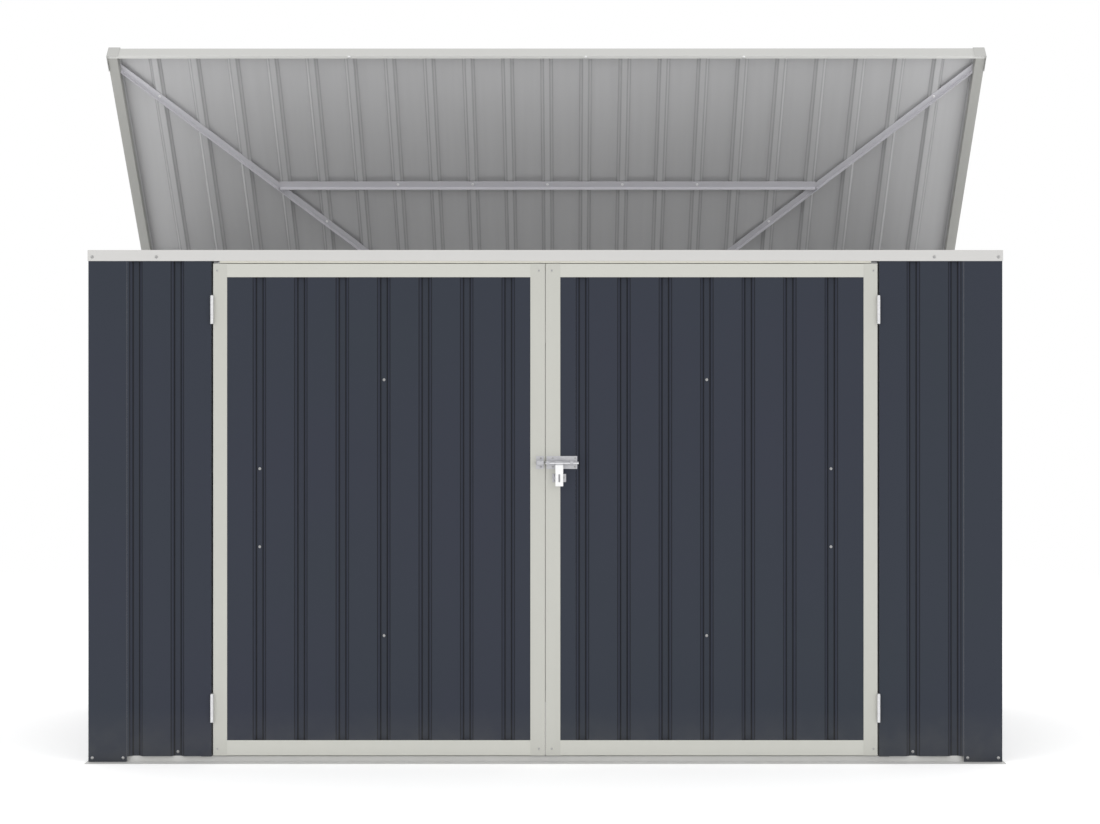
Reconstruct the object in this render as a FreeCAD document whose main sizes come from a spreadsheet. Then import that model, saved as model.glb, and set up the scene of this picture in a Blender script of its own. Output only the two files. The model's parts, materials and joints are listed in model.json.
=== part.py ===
import FreeCAD, Part
import os
import re

import Sketcher
from FreeCAD import Placement, Rotation, Vector

# Wheelie bin store: a steel box on floor rails, two side-hung doors with a pad bolt, and a lid that
# two gas struts hold open. Lengths are millimetres and angles are degrees. X runs to the right, Y to
# the rear and Z up. The origin is on the ground under the middle. It stands with the doors shut and
# the lid open.

SIZES = [
    ("body_width", 2350, "width over the wall sheets"),
    ("body_depth", 970, "depth over the wall sheets"),
    ("front_height", 1318, "ground to the top of the front rail"),
    ("roof_fall", 12, "slope of the closed lid"),
    ("lid_swing", 35, "angle from closed to open"),
    ("sheet_steel", 0.6, "thickness of ribbed and corner sheets"),
    ("frame_steel", 1.2, "thickness of rails, stiles and braces"),
    ("rib_pitch", 106.7, "rib to rib"),
    ("rib_depth", 8, "depth of a rib"),
    ("rib_floor", 17, "flat width at the bottom of a rib"),
    ("rib_flank", 7.5, "width of each sloping flank"),
    ("rail_height", 28.5, "height of the top rails"),
    ("rail_depth", 45, "width of the top rails seen from above"),
    ("rail_proud", 2, "top rail face ahead of the wall"),
    ("sill_lip", 25, "ground lip in front of the sill"),
    ("side_lip", 6, "ground lip of the other floor rails"),
    ("sill_height", 15, "height of the sill under the doors"),
    ("sill_depth", 20, "depth of the sill's top flange"),
    ("upstand", 35, "height of the floor rails behind the sheets"),
    ("ground_gap", 2, "corner and wall sheets above the ground"),
    ("cover_front", 99, "front face of a corner sheet"),
    ("cover_side", 60, "side face of a corner sheet"),
    ("panel_lap", 24, "panel behind a corner sheet"),
    ("panel_bottom", 16, "front panels above the ground"),
    ("panel_rib", 946.4, "middle to the first rib beside the doors"),
    ("side_rib", 4.85, "rear wall to the first rib of the side sheets"),
    ("rear_lap", 72, "rear sheets behind the corner sheets"),
    ("door_reach", 854.5, "middle to a door's hinge edge"),
    ("door_seam", 1, "gap between the doors"),
    ("door_bottom", 17.5, "doors above the ground"),
    ("door_height", 1265.5, "height of a door"),
    ("door_depth", 25, "thickness of a door"),
    ("door_gap", 4.5, "hinge gap between door and post"),
    ("hinge_stile", 36, "face width of the hinge stile"),
    ("meeting_stile", 38, "face width of the meeting stile"),
    ("top_rail", 35, "face height of a door's top rail"),
    ("bottom_rail", 39.5, "face height of a door's bottom rail"),
    ("back_flange", 15, "return flange behind stiles and rails"),
    ("door_rib", 95.5, "middle to a door's first rib"),
    ("sheet_lap", 7.5, "door sheet behind its frame"),
    ("tab_reach", 31.5, "rail tab behind a stile"),
    ("tab_height", 21, "height of a rail tab"),
    ("brace_width", 25, "width of the braces"),
    ("brace_slope", 35.6, "slope of the door braces"),
    ("brace_upper", 755, "height of the upper brace at its rib"),
    ("brace_lower", 554, "height of the lower brace at its rib"),
    ("post_width", 26, "width of a door post"),
    ("post_depth", 40, "depth of a door post"),
    ("post_top", 1300, "top of the door posts"),
    ("header_reach", 838, "middle to each end of the header strip"),
    ("header_bottom", 1262, "bottom of the header strip"),
    ("header_top", 1305, "top of the header strip"),
    ("header_play", 2, "header behind the closed doors"),
    ("header_set", 1, "header's face behind the front of the doors"),
    ("header_clear", 1.6, "header's face above the doors"),
    ("mid_rail_height", 655, "middle of the rear stiffener"),
    ("mid_rail_width", 30, "height of the rear stiffener"),
    ("mid_rail_depth", 20, "depth of the rear stiffener"),
    ("knuckle", 4.5, "radius of the hinge knuckles"),
    ("leaf", 1.4, "thickness of the hinge leaves"),
    ("door_leaf_width", 20, "width of a door hinge leaf"),
    ("door_leaf_height", 72, "height of a door hinge"),
    ("lower_hinge", 104, "bottom of the lower door hinge"),
    ("upper_hinge", 1128, "bottom of the upper door hinge"),
    ("pin", 2, "radius of the hinge pins"),
    ("pin_play", 0.05, "play round the hinge pins"),
    ("pin_head", 3.2, "radius of a hinge pin's head"),
    ("knuckle_gap", 0.3, "play between knuckles"),
    ("lid_hinge_offset", 7, "lid hinge axis behind the rear wall"),
    ("lid_hinge_place", 800, "middle to the outer lid hinges"),
    ("lid_leaf_width", 80, "length of a lid hinge"),
    ("lid_leaf_height", 30, "height of a lid hinge leaf"),
    ("leaf_screw", 18, "lid hinge axis to the screws of its leaves"),
    ("lid_width", 2376, "width of the lid frame"),
    ("lid_overhang", 20, "lid in front of the front rail"),
    ("lid_height", 34, "height of the lid frame"),
    ("lid_rest", 0.5, "closed lid above the top rails"),
    ("lid_side_flange", 27, "bottom flange of the lid's side rails"),
    ("lid_top_flange", 18, "top flange of the lid's side rails"),
    ("lid_return", 10, "flanges of the lid's front rail"),
    ("lap_step", 0.9, "step between overlapping lid sheets"),
    ("lap_edge", 10, "lid sheet beyond the overlapped rib"),
    ("lid_brace_run", 0.958, "sideways run of a diagonal per unit of depth"),
    ("brace_lip", 12, "lip of the lid braces"),
    ("diagonal_width", 17, "width of the lid's diagonal braces"),
    ("diagonal_start", 25, "free edge of the lid to its diagonals, at the side"),
    ("cross_place", 460, "free edge of the lid to the cross brace"),
    ("cross_width", 21, "width of the cross brace"),
    ("cross_reach", 764, "middle to each end of the cross brace"),
    ("cap_length", 31, "corner cap along the front"),
    ("cap_side", 50, "corner cap along the side"),
    ("cap_steel", 1.2, "thickness of a corner cap"),
    ("cap_rise", 4, "corner cap above and below the frame"),
    ("strut_reach", 285, "hinge axis to both studs of a strut"),
    ("strut_back", 171.9, "wall stud in front of the hinge axis"),
    ("strut_lift", 12.5, "lid stud above the seat of the lid"),
    ("strut_inset", 57, "side walls and the lid's side flanges to the struts"),
    ("strut_eye", 9, "radius of a strut's end eyes"),
    ("strut_eye_width", 10, "width of a strut's end eyes"),
    ("stud", 4, "radius of the strut studs"),
    ("stud_play", 0.1, "play round the strut studs"),
    ("stud_head", 6, "radius of a stud's head and shoulder"),
    ("wall_bracket_length", 150, "length of a strut's wall bracket"),
    ("wall_bracket_height", 50, "height of a strut's wall bracket"),
    ("bracket_stand", 30, "width of the stand on a wall bracket"),
    ("lid_bracket_length", 44, "length of a strut's lid bracket"),
    ("cylinder_outer", 10, "outer radius of a strut cylinder"),
    ("cylinder_inner", 8.6, "inner radius of a strut cylinder"),
    ("cylinder_end", 288, "wall stud to the mouth of the cylinder"),
    ("cylinder_neck", 13.5, "wall stud to the full width of the cylinder"),
    ("cylinder_foot", 26, "wall stud to the foot of the bore"),
    ("mouth_bush", 10, "length of the bush in the mouth"),
    ("rod_radius", 4, "radius of a strut rod"),
    ("rod_reach", 288, "lid stud to the piston face"),
    ("piston", 8.2, "radius of the piston"),
    ("piston_length", 12, "length of the piston"),
    ("bush_play", 0.3, "play between bush and rod"),
    ("bracket_steel", 2, "thickness of the strut brackets"),
    ("bolt_height", 771, "ground to the bolt"),
    ("bolt_stand", 12, "door face to the axis of the bolt"),
    ("bolt_radius", 3.5, "radius of the bolt"),
    ("bolt_play", 0.3, "play round the bolt"),
    ("keeper_play", 1, "play between the bolt and its keeper"),
    ("bolt_end", 85.6, "handle end of the bolt from the middle"),
    ("plate_steel", 1.5, "thickness of the latch plates"),
    ("plate_left", 3, "near edge of the bolt plate"),
    ("plate_right", 82, "far edge of the bolt plate"),
    ("plate_height", 33, "height of the bolt plate and the keeper"),
    ("plate_drop", 16, "latch plates below the bolt"),
    ("fixing_rise", 12, "bolt to the upper rivets of the latch plates"),
    ("fixing_drop", 11, "bolt to the lower rivets of the latch plates"),
    ("plate_rivet", 18.5, "middle to the near rivets of the bolt plate"),
    ("rivet_edge", 5.5, "edge of a latch plate to its far rivets"),
    ("rivet_in", 18, "top and bottom of a door to its corner rivets"),
    ("rivet_outer", 10.5, "hinge edge of a door to its corner rivets"),
    ("rivet_inner", 16, "meeting edge of a door to its corner rivets"),
    ("keeper_left", 23.6, "far edge of the keeper"),
    ("keeper_right", 4.4, "near edge of the keeper"),
    ("strap_width", 8, "width of a strap over the bolt"),
    ("strap_far", 63.4, "near edge of the second strap"),
    ("strap_bend", 1.5, "bend at the shoulders of a strap"),
    ("flap_left", 26, "near edge of the flap"),
    ("flap_width", 20, "width of the flap"),
    ("flap_length", 59.8, "flap below the bolt's axis"),
    ("flap_root", 3, "top of the flap's plate below the bolt's axis"),
    ("flap_steel", 2, "thickness of the flap"),
    ("flap_eye", 5.5, "radius of the flap's eye"),
    ("slot_width", 4.6, "width of the flap's slot"),
    ("slot_top", 29, "top of the slot below the bolt's axis"),
    ("slot_bottom", 49, "bottom of the slot below the bolt's axis"),
    ("collar", 4.7, "radius of the bolt's collars"),
    ("collar_width", 1.5, "width of a collar"),
    ("staple_left", 18, "near edge of the staple plate"),
    ("staple_right", 53.5, "far edge of the staple plate"),
    ("staple_top", 742, "top of the staple plate"),
    ("staple_bottom", 721, "bottom of the staple plate"),
    ("loop_place", 23, "middle to the padlock loop"),
    ("loop_wire", 1.5, "radius of the loop's wire"),
    ("loop_out", 15.4, "door face to the tip of the loop"),
    ("loop_height", 17, "height of the loop"),
    ("loop_middle", 732.3, "ground to the middle of the loop"),
    ("screw_head", 4, "radius of a screw head"),
    ("screw_dome", 2, "height of a screw head"),
    ("screw_shank", 2, "radius of a screw's shank"),
    ("screw_length", 12, "length of a screw's shank"),
    ("rivet_head", 2.6, "radius of a rivet head"),
    ("rivet_dome", 1, "height of a rivet head"),
    ("rivet_shank", 1.6, "radius of a rivet's shank"),
    ("rivet_length", 4, "length of a rivet's shank"),
    ("screw_edge", 10, "edges of a corner sheet to its screws"),
    ("foot_screw", 12, "ground to the screws at the foot of a corner"),
    ("rail_screw", 1000, "middle to the inner screws of the front rail"),
    ("rail_screw_rise", 10.5, "bottom of a top rail to its screws"),
    ("panel_screw", 26.5, "ground to the screws at the foot of a sheet"),
    ("hole_play", 0.15, "play round screws and rivets"),
]

doc = FreeCAD.newDocument("WheelieBinStore")
sizes = doc.addObject("Spreadsheet::Sheet", "Sizes")
for row, (alias, number, note) in enumerate(SIZES, 1):
    sizes.set(f"A{row}", note)
    sizes.set(f"B{row}", str(number))
    sizes.setAlias(f"B{row}", alias)
doc.recompute()

ALIASES = {alias for alias, number, note in SIZES}
X, Y, Z = Vector(1, 0, 0), Vector(0, 1, 0), Vector(0, 0, 1)


# Expressions, measures and the frames that pieces sit in

def bound(text):
    """Put the sheet's name before each size in an expression."""
    return re.sub(r"[a-z_]+", lambda word: f"Sizes.{word[0]}" if word[0] in ALIASES else word[0], text)


def value(text):
    """The number that an expression of sizes gives."""
    return float(sizes.evalExpression(bound(text)))


def bind(item, **expressions):
    for prop, text in expressions.items():
        item.setExpression(prop.replace("__", "."), bound(text))


WALL = "body_width / 2"
FRONT = "(-body_depth / 2)"
REAR = "(body_depth / 2)"
HINGE_Y = f"({REAR} + lid_hinge_offset)"
FALL = "tan(roof_fall)"


def seat(y):
    """Height of the plane that the closed lid comes down on."""
    return f"(front_height - ({y} - {FRONT} + rail_proud) * {FALL})"


HINGE_Z = seat(HINGE_Y)
LID_LENGTH = f"((body_depth + lid_hinge_offset + rail_proud) / cos(roof_fall) + lid_overhang)"
INNER = "(rib_depth + sheet_steel)"


def on_roof(item, angle):
    """Place a piece, made flat round the lid's hinge axis, at the given tilt."""
    item.Placement = Placement(Vector(), Rotation(X, 1))
    bind(item, Placement__Base__y=HINGE_Y, Placement__Base__z=HINGE_Z)
    bind(item, Placement__Rotation__Angle=f"360 - ({angle})")
    return item


# Solids

def box(name, x, y, z):
    item = doc.addObject("Part::Box", name)
    bind(item, Length=f"({x[1]}) - ({x[0]})", Width=f"({y[1]}) - ({y[0]})", Height=f"({z[1]}) - ({z[0]})")
    bind(item, Placement__Base__x=x[0], Placement__Base__y=y[0], Placement__Base__z=z[0])
    return item


def cylinder(name, radius, axis, span, first, second):
    """A cylinder along an axis, with its other two coordinates in XYZ order."""
    item = doc.addObject("Part::Cylinder", name)
    bind(item, Radius=radius, Height=f"({span[1]}) - ({span[0]})")
    turn = {"X": Rotation(Y, 90), "Y": Rotation(X, -90), "Z": Rotation()}[axis]
    item.Placement = Placement(Vector(), turn)
    place = [first, second]
    place.insert("XYZ".index(axis), span[0])
    bind(item, Placement__Base__x=place[0], Placement__Base__y=place[1], Placement__Base__z=place[2])
    return item


def origin_plane(body, plane):
    return [item for item in body.Origin.OriginFeatures if item.Role == f"{plane}_Plane"][0]


def polygon(body, plane, points, offset):
    """A closed outline on an origin plane, with each corner tied to the sheet."""
    sketch = body.newObject("Sketcher::SketchObject", f"{body.Name}_outline")
    sketch.AttachmentSupport = [(origin_plane(body, plane), "")]
    sketch.MapMode = "FlatFace"
    bind(sketch, AttachmentOffset__Base__z=offset)
    corners = [(value(u), value(v)) for u, v in points]
    count = len(corners)
    for index, (u, v) in enumerate(corners):
        following = corners[(index + 1) % count]
        sketch.addGeometry(Part.LineSegment(Vector(u, v, 0), Vector(following[0], following[1], 0)))
    for index in range(count):
        sketch.addConstraint(Sketcher.Constraint("Coincident", index, 2, (index + 1) % count, 1))
    for index, (u, v) in enumerate(points):
        across = sketch.addConstraint(Sketcher.Constraint("DistanceX", -1, 1, index, 1, corners[index][0]))
        sketch.setExpression(f"Constraints[{across}]", bound(u))
        up = sketch.addConstraint(Sketcher.Constraint("DistanceY", -1, 1, index, 1, corners[index][1]))
        sketch.setExpression(f"Constraints[{up}]", bound(v))
    return sketch


def pad(name, plane, points, span):
    """Pad an outline along the axis that its plane faces, from one place to another."""
    body = doc.addObject("PartDesign::Body", name)
    start = f"-({span[1]})" if plane == "XZ" else span[0]
    sketch = polygon(body, plane, points, start)
    feature = body.newObject("PartDesign::Pad", f"{name}_pad")
    feature.Profile = sketch
    bind(feature, Length=f"({span[1]}) - ({span[0]})")
    body.Tip = feature
    return body


def boolean(kind, name, base, tool):
    item = doc.addObject(f"Part::{kind}", name)
    item.Base = base
    item.Tool = tool
    item.Refine = True
    return item


def cut(name, base, tool):
    return boolean("Cut", name, base, tool)


def common(name, base, tool):
    return boolean("Common", name, base, tool)


def fuse(name, shapes):
    item = doc.addObject("Part::MultiFuse", name)
    item.Shapes = shapes
    item.Refine = True
    return item


def group(name, items):
    item = doc.addObject("Part::Compound", name)
    item.Links = items
    return item


def mirrored(name, source):
    """The same piece on the other side of the middle."""
    item = doc.addObject("Part::Mirroring", name)
    item.Source = source
    item.Base = Vector()
    item.Normal = X
    return item


def ribbed(name, first, count, length):
    """A ribbed sheet that stands on the ground plane, with its outside facing -Y and its ribs upright."""
    half, top = "rib_floor / 2", "(rib_floor / 2 + rib_flank)"
    lean = "(sheet_steel * tan(atan(rib_depth / rib_flank) / 2))"
    outside = [("-rib_pitch / 2", "0"), (f"-{top}", "0"), (f"-{half}", "rib_depth"), (half, "rib_depth")]
    outside += [(top, "0"), ("rib_pitch / 2", "0")]
    inside = [("rib_pitch / 2", "sheet_steel"), (f"{top} + {lean}", "sheet_steel")]
    inside += [(f"{half} + {lean}", INNER), (f"-{half} - {lean}", INNER)]
    inside += [(f"-{top} - {lean}", "sheet_steel"), ("-rib_pitch / 2", "sheet_steel")]
    points = [(f"{first} + ({u})", v) for u, v in outside + inside]
    body = pad(name, "XY", points, ("0", length))
    feature = body.Tip
    if count > 1:
        pattern = body.newObject("PartDesign::LinearPattern", f"{name}_ribs")
        pattern.Originals = [feature]
        pattern.Direction = (feature.Profile[0], ["H_Axis"])
        bind(pattern, Length=f"rib_pitch * {count - 1}")
        pattern.Occurrences = count
        body.Tip = pattern
    return body


# Nodes and the fasteners that hold them

nodes = {}


def node(name, item, fixed=()):
    """Keep a piece under its own name, with holes for the fasteners that go through it."""
    nodes[name] = (item, list(fixed))
    return item


def fastener(kind, radius, shank_radius, dome, length):
    """One screw or rivet that points along +Z, with its head's seat at the origin."""
    body = doc.addObject("PartDesign::Body", kind)
    points = [("0", length), (shank_radius, length), (shank_radius, "0"), (radius, "0")]
    points += [(radius, f"-{dome} / 2"), (f"{radius} * 0.6", f"-{dome}"), ("0", f"-{dome}")]
    sketch = polygon(body, "XZ", points, "0")
    feature = body.newObject("PartDesign::Revolution", f"{kind}_turned")
    feature.Profile = sketch
    feature.ReferenceAxis = (sketch, ["V_Axis"])
    feature.Angle = 360
    body.Tip = feature
    return body


SCREW = fastener("screw", "screw_head", "screw_shank", "screw_dome", "screw_length")
RIVET = fastener("rivet", "rivet_head", "rivet_shank", "rivet_dome", "rivet_length")
doc.recompute()


WAYS = {"+X": X, "-X": -X, "+Y": Y, "-Y": -Y, "+Z": Z, "-Z": -Z}


def fasten(name, places):
    """A node of fasteners, each at a place and a way, and the holes that they need in what they hold."""
    bits, holes = [], []
    for master, x, y, z, way in places:
        kind = master.Name
        placement = Placement(Vector(value(x), value(y), value(z)), Rotation(Z, WAYS[way]))
        bit = master.Shape.copy()
        bit.Placement = placement
        bits.append(bit)
        reach = value(f"{kind}_length + 2 * hole_play")
        hole = Part.makeCylinder(value(f"{kind}_shank + hole_play"), reach, Vector(0, 0, -value("hole_play")))
        hole.Placement = placement
        holes.append(hole)
    item = doc.addObject("Part::Feature", name)
    item.Shape = Part.makeCompound(bits)
    node(name, item)
    return holes


def drilled(name, item, holes):
    """The piece with each hole that reaches it."""
    near = [hole for hole in holes if hole.BoundBox.intersect(item.Shape.BoundBox)]
    near = [hole for hole in near if hole.common(item.Shape).Volume > 0]
    if not near:
        return item
    tool = doc.addObject("Part::Feature", f"{name}_holes")
    tool.Shape = Part.makeCompound(near)
    return cut(f"{name}_drilled", item, tool)


def both(text):
    """An expression and its mirror image."""
    return [f"-({text})", text]


def around(place, width):
    """A span of the given width about a place."""
    return (f"{place} - {width} / 2", f"{place} + {width} / 2")


# Floor rails

OUT, IN = f"({FRONT} + {INNER})", f"({FRONT} + {INNER} + frame_steel)"
REAR_OUT, REAR_IN = f"({REAR} - {INNER})", f"({REAR} - {INNER} - frame_steel)"
SIDE_OUT, SIDE_IN = f"({WALL} - {INNER})", f"({WALL} - {INNER} - frame_steel)"
JAMB = "(door_reach + door_gap)"
POST_OUT = f"({JAMB} + post_width)"
LIP_X = (f"-({WALL} + side_lip)", f"{WALL} + side_lip")
INSIDE_X = (f"-{SIDE_IN}", SIDE_IN)

ground_flange = box("sill_ground_flange", LIP_X, (f"{FRONT} - sill_lip", IN), ("0", "frame_steel"))
SILL_TOP = f"{OUT} + sill_depth"
step = pad("sill_step", "YZ", [
    (OUT, "frame_steel"), (IN, "frame_steel"), (IN, "sill_height - frame_steel"),
    (SILL_TOP, "sill_height - frame_steel"), (SILL_TOP, "sill_height"), (OUT, "sill_height"),
], INSIDE_X)
wing = box("sill_wing", (f"-{SIDE_IN}", f"-({POST_OUT} + ground_gap)"), (OUT, IN), ("sill_height", "upstand"))
wings = [wing, mirrored("sill_other_wing", wing)]
node("front_sill", fuse("front_sill", [ground_flange, step] + wings), ["body"])

SIDE_Y = (IN, REAR_IN)
side_flange = box("side_ground_flange", (LIP_X[0], INSIDE_X[0]), SIDE_Y, ("0", "frame_steel"))
side_upstand = box("side_upstand", (f"-{SIDE_OUT}", f"-{SIDE_IN}"), SIDE_Y, ("0", "upstand"))
side_floor_rail = fuse("side_floor_rail", [side_flange, side_upstand])
floor_rails = group("floor_rails_side", [side_floor_rail, mirrored("other_side_floor_rail", side_floor_rail)])
node("floor_rails_side", floor_rails, ["body"])

rear_flange = box("rear_ground_flange", LIP_X, (REAR_IN, f"{REAR} + side_lip"), ("0", "frame_steel"))
rear_upstand = box("rear_upstand", INSIDE_X, (REAR_IN, REAR_OUT), ("0", "upstand"))
node("rear_floor_rail", fuse("rear_floor_rail", [rear_flange, rear_upstand]), ["body"])


# Wall sheets, cut to the slope of the roof

DROP = "(frame_steel / cos(roof_fall) + hole_play)"


def under_roof(name, x, y, bottom):
    """The space under the top rails, between two places across and two along the store."""
    top = [f"{seat(place)} - {DROP}" for place in y]
    return pad(name, "YZ", [(y[0], bottom), (y[1], bottom), (y[1], top[1]), (y[0], top[0])], x)


ALL_X = (f"-({WALL} + rail_proud)", f"{WALL} + rail_proud")
ALL_Y = (f"{FRONT} - rail_proud", f"{REAR} + rail_proud")
roof_space = under_roof("roof_space", ALL_X, ALL_Y, "ground_gap")

EDGE = f"-({WALL} + sheet_steel)"
corner = pad("corner_outline", "XY", [
    (EDGE, f"{FRONT} - sheet_steel"), (f"-({WALL} - cover_front)", f"{FRONT} - sheet_steel"),
    (f"-({WALL} - cover_front)", FRONT), (f"-{WALL}", FRONT),
    (f"-{WALL}", f"{FRONT} + cover_side"), (EDGE, f"{FRONT} + cover_side"),
], ("0", "front_height"))
corner_left = common("corner_cover_left", corner, roof_space)
node("corner_cover_left", corner_left, ["body"])
node("corner_cover_right", mirrored("corner_cover_right", corner_left), ["body"])

rear_corner = pad("rear_corner_outline", "XY", [
    (EDGE, f"{REAR} + sheet_steel"), (f"-({WALL} - cover_front)", f"{REAR} + sheet_steel"),
    (f"-({WALL} - cover_front)", REAR), (f"-{WALL}", REAR),
    (f"-{WALL}", f"{REAR} - cover_side"), (EDGE, f"{REAR} - cover_side"),
], ("0", "front_height"))
rear_corner_left = common("rear_corner_left", rear_corner, roof_space)
posts = group("rear_corner_posts", [rear_corner_left, mirrored("rear_corner_right", rear_corner_left)])
node("rear_corner_posts", posts, ["body"])

front_sheet = ribbed("front_sheet", "-(panel_rib + rib_pitch)", 3, "front_height")
bind(front_sheet, Placement__Base__y=FRONT)
front_space = under_roof("front_space", (f"-({WALL} - cover_front + panel_lap)", f"-{JAMB}"),
                         (FRONT, IN), "panel_bottom")
front_panel = common("front_panel_left", front_sheet, front_space)
node("front_panel_left", front_panel, ["body"])
node("front_panel_right", mirrored("front_panel_right", front_panel), ["body"])


def side_rib(number):
    """The place of a rib of the side sheets, counted from the rear."""
    return f"({REAR} - side_rib - {number} * rib_pitch)"


side_sheet = ribbed("side_sheet", f"-{side_rib(0)}", 10, "front_height")
side_sheet.Placement = Placement(Vector(), Rotation(Z, -90))
bind(side_sheet, Placement__Base__x=f"-{WALL}")
SIDE_END = "(body_depth / 2 - cover_side + panel_lap)"
side_space = under_roof("side_space", (f"-{WALL}", f"-{SIDE_IN}"), both(SIDE_END), "ground_gap")
side_panel = common("side_panel_left", side_sheet, side_space)
node("side_panel_left", side_panel, ["body"])
node("side_panel_right", mirrored("side_panel_right", side_panel), ["body"])

REAR_LAP = "3.5 * rib_pitch"


def rear_sheet(name, first, count, x, level):
    sheet = ribbed(name, first, count, "front_height")
    sheet.Placement = Placement(Vector(), Rotation(Z, 180))
    bind(sheet, Placement__Base__y=f"{REAR} + {level}")
    space = under_roof(f"{name}_space", x, (REAR_IN, f"{REAR} + sheet_steel"), "ground_gap")
    return common(f"{name}_panel", sheet, space)


outer_rear = rear_sheet("rear_outer", "3 * rib_pitch", 9,
                        (f"-({WALL} - cover_front + rear_lap)", f"-{REAR_LAP} + sheet_lap"), "0")
middle_rear = rear_sheet("rear_middle", "-4 * rib_pitch", 9,
                         (f"-{REAR_LAP} - sheet_lap", f"{REAR_LAP} + sheet_lap"), "sheet_steel")
rear_panels = group("rear_panels", [outer_rear, middle_rear, mirrored("rear_other_panel", outer_rear)])
node("rear_panels", rear_panels, ["body"])


# Top rails

def top_rail(name, outer, inner, bottom, way):
    """A channel across the store, open below, whose top follows the roof."""
    web_in, flange_out = f"({outer} + {way} * frame_steel)", f"({inner} - {way} * frame_steel)"
    skin = pad(f"{name}_skin", "YZ", [
        (outer, bottom), (outer, seat(outer)), (inner, seat(inner)), (inner, f"{seat(inner)} - {TOP_STEEL}"),
        (web_in, f"{seat(web_in)} - {TOP_STEEL}"), (web_in, bottom),
    ], ALL_X)
    flange = pad(f"{name}_flange", "YZ", [
        (inner, bottom), (inner, f"{seat(inner)} - {TOP_STEEL}"),
        (flange_out, f"{seat(flange_out)} - {TOP_STEEL}"), (flange_out, bottom),
    ], (f"-{SIDE_OUT}", SIDE_OUT))
    return fuse(name, [skin, flange])


TOP_STEEL = "frame_steel / cos(roof_fall)"
RAIL_FRONT = f"({FRONT} - rail_proud)"
RAIL_BACK = f"({RAIL_FRONT} + rail_depth)"
REAR_RAIL_OUT = f"({REAR} + rail_proud)"
REAR_RAIL_IN = f"({REAR_RAIL_OUT} - rail_depth)"
RAIL_BOTTOM = "(front_height - rail_height)"
REAR_RAIL_BOTTOM = f"({seat(REAR_RAIL_OUT)} - rail_height)"
node("front_top_rail", top_rail("front_top_rail", RAIL_FRONT, RAIL_BACK, RAIL_BOTTOM, 1), ["body"])
node("rear_top_rail", top_rail("rear_top_rail", REAR_RAIL_OUT, REAR_RAIL_IN, REAR_RAIL_BOTTOM, -1), ["body"])


def slope_bar(name, x, top, bottom):
    """A sloping bar between the front and rear rails, between two depths under the roof's plane."""
    return pad(name, "YZ", [
        (RAIL_BACK, f"{seat(RAIL_BACK)} - {bottom}"), (REAR_RAIL_IN, f"{seat(REAR_RAIL_IN)} - {bottom}"),
        (REAR_RAIL_IN, f"{seat(REAR_RAIL_IN)} - {top}"), (RAIL_BACK, f"{seat(RAIL_BACK)} - {top}"),
    ], x)


RAIL_X = f"-({WALL} + rail_proud)"
side_solid = slope_bar("side_rail_solid", (RAIL_X, f"{RAIL_X} + rail_depth"), "0", "rail_height")
hollow_x = (f"{RAIL_X} + frame_steel", f"{RAIL_X} + rail_depth - frame_steel")
side_hollow = slope_bar("side_rail_hollow", hollow_x, TOP_STEEL, "2 * rail_height")
side_rail = cut("side_rail", side_solid, side_hollow)
node("side_top_rails", group("side_top_rails", [side_rail, mirrored("other_side_rail", side_rail)]), ["body"])


# Door posts, header strip and rear stiffener

DOOR_TOP = "(door_bottom + door_height)"
HEADER_Y = f"({FRONT} + door_depth + header_play)"
header_strip = box("header_strip", both("header_reach"), (HEADER_Y, f"{HEADER_Y} + frame_steel"),
                   ("header_bottom", "header_top"))
header_shelf = box("header_shelf", both("header_reach"), (HEADER_Y, RAIL_BACK),
                   (f"{RAIL_BOTTOM} - frame_steel", RAIL_BOTTOM))
header_stop = fuse("header_stop", [header_strip, header_shelf])
FACE_Y, FACE_Z = f"({FRONT} + header_set)", f"({DOOR_TOP} + header_clear)"
header_face = pad("header_face", "YZ", [
    (FACE_Y, FACE_Z), (HEADER_Y, FACE_Z), (HEADER_Y, f"{FACE_Z} + frame_steel"),
    (f"{FACE_Y} + frame_steel", f"{FACE_Z} + frame_steel"), (f"{FACE_Y} + frame_steel", "header_top"),
    (FACE_Y, "header_top"),
], both("header_reach"))
node("door_header", group("door_header", [header_stop, header_face]))

POST_Y = f"({FRONT} + sheet_steel)"
post = pad("post_outline", "XY", [
    (f"-{POST_OUT}", POST_Y), (f"-{JAMB}", POST_Y), (f"-{JAMB}", f"{POST_Y} + post_depth"),
    (f"-{POST_OUT}", f"{POST_Y} + post_depth"), (f"-{POST_OUT}", f"{POST_Y} + post_depth - frame_steel"),
    (f"-({JAMB} + frame_steel)", f"{POST_Y} + post_depth - frame_steel"),
    (f"-({JAMB} + frame_steel)", f"{POST_Y} + frame_steel"), (f"-{POST_OUT}", f"{POST_Y} + frame_steel"),
], ("sill_height", "post_top"))
node("door_post_left", post, ["body"])
node("door_post_right", mirrored("door_post_right", post), ["body"])

MID_IN = f"({REAR_OUT} - mid_rail_depth)"
MID_LOW, MID_TOP = "(mid_rail_height - mid_rail_width / 2)", "(mid_rail_height + mid_rail_width / 2)"
mid_rail = pad("rear_mid_rail", "YZ", [
    (REAR_OUT, MID_LOW), (REAR_OUT, MID_TOP), (MID_IN, MID_TOP), (MID_IN, f"{MID_TOP} - frame_steel"),
    (f"{REAR_OUT} - frame_steel", f"{MID_TOP} - frame_steel"),
    (f"{REAR_OUT} - frame_steel", f"{MID_LOW} + frame_steel"),
    (MID_IN, f"{MID_LOW} + frame_steel"), (MID_IN, MID_LOW),
], INSIDE_X)
node("rear_mid_rail", mid_rail, ["body"])


# Door hinges

PIN_X = "(door_reach + door_gap / 2)"
PIN_Y = f"({FRONT} - knuckle - knuckle_gap)"
HINGE_BOTTOMS = ["lower_hinge", "upper_hinge"]
BORE = "(pin + pin_play)"


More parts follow.
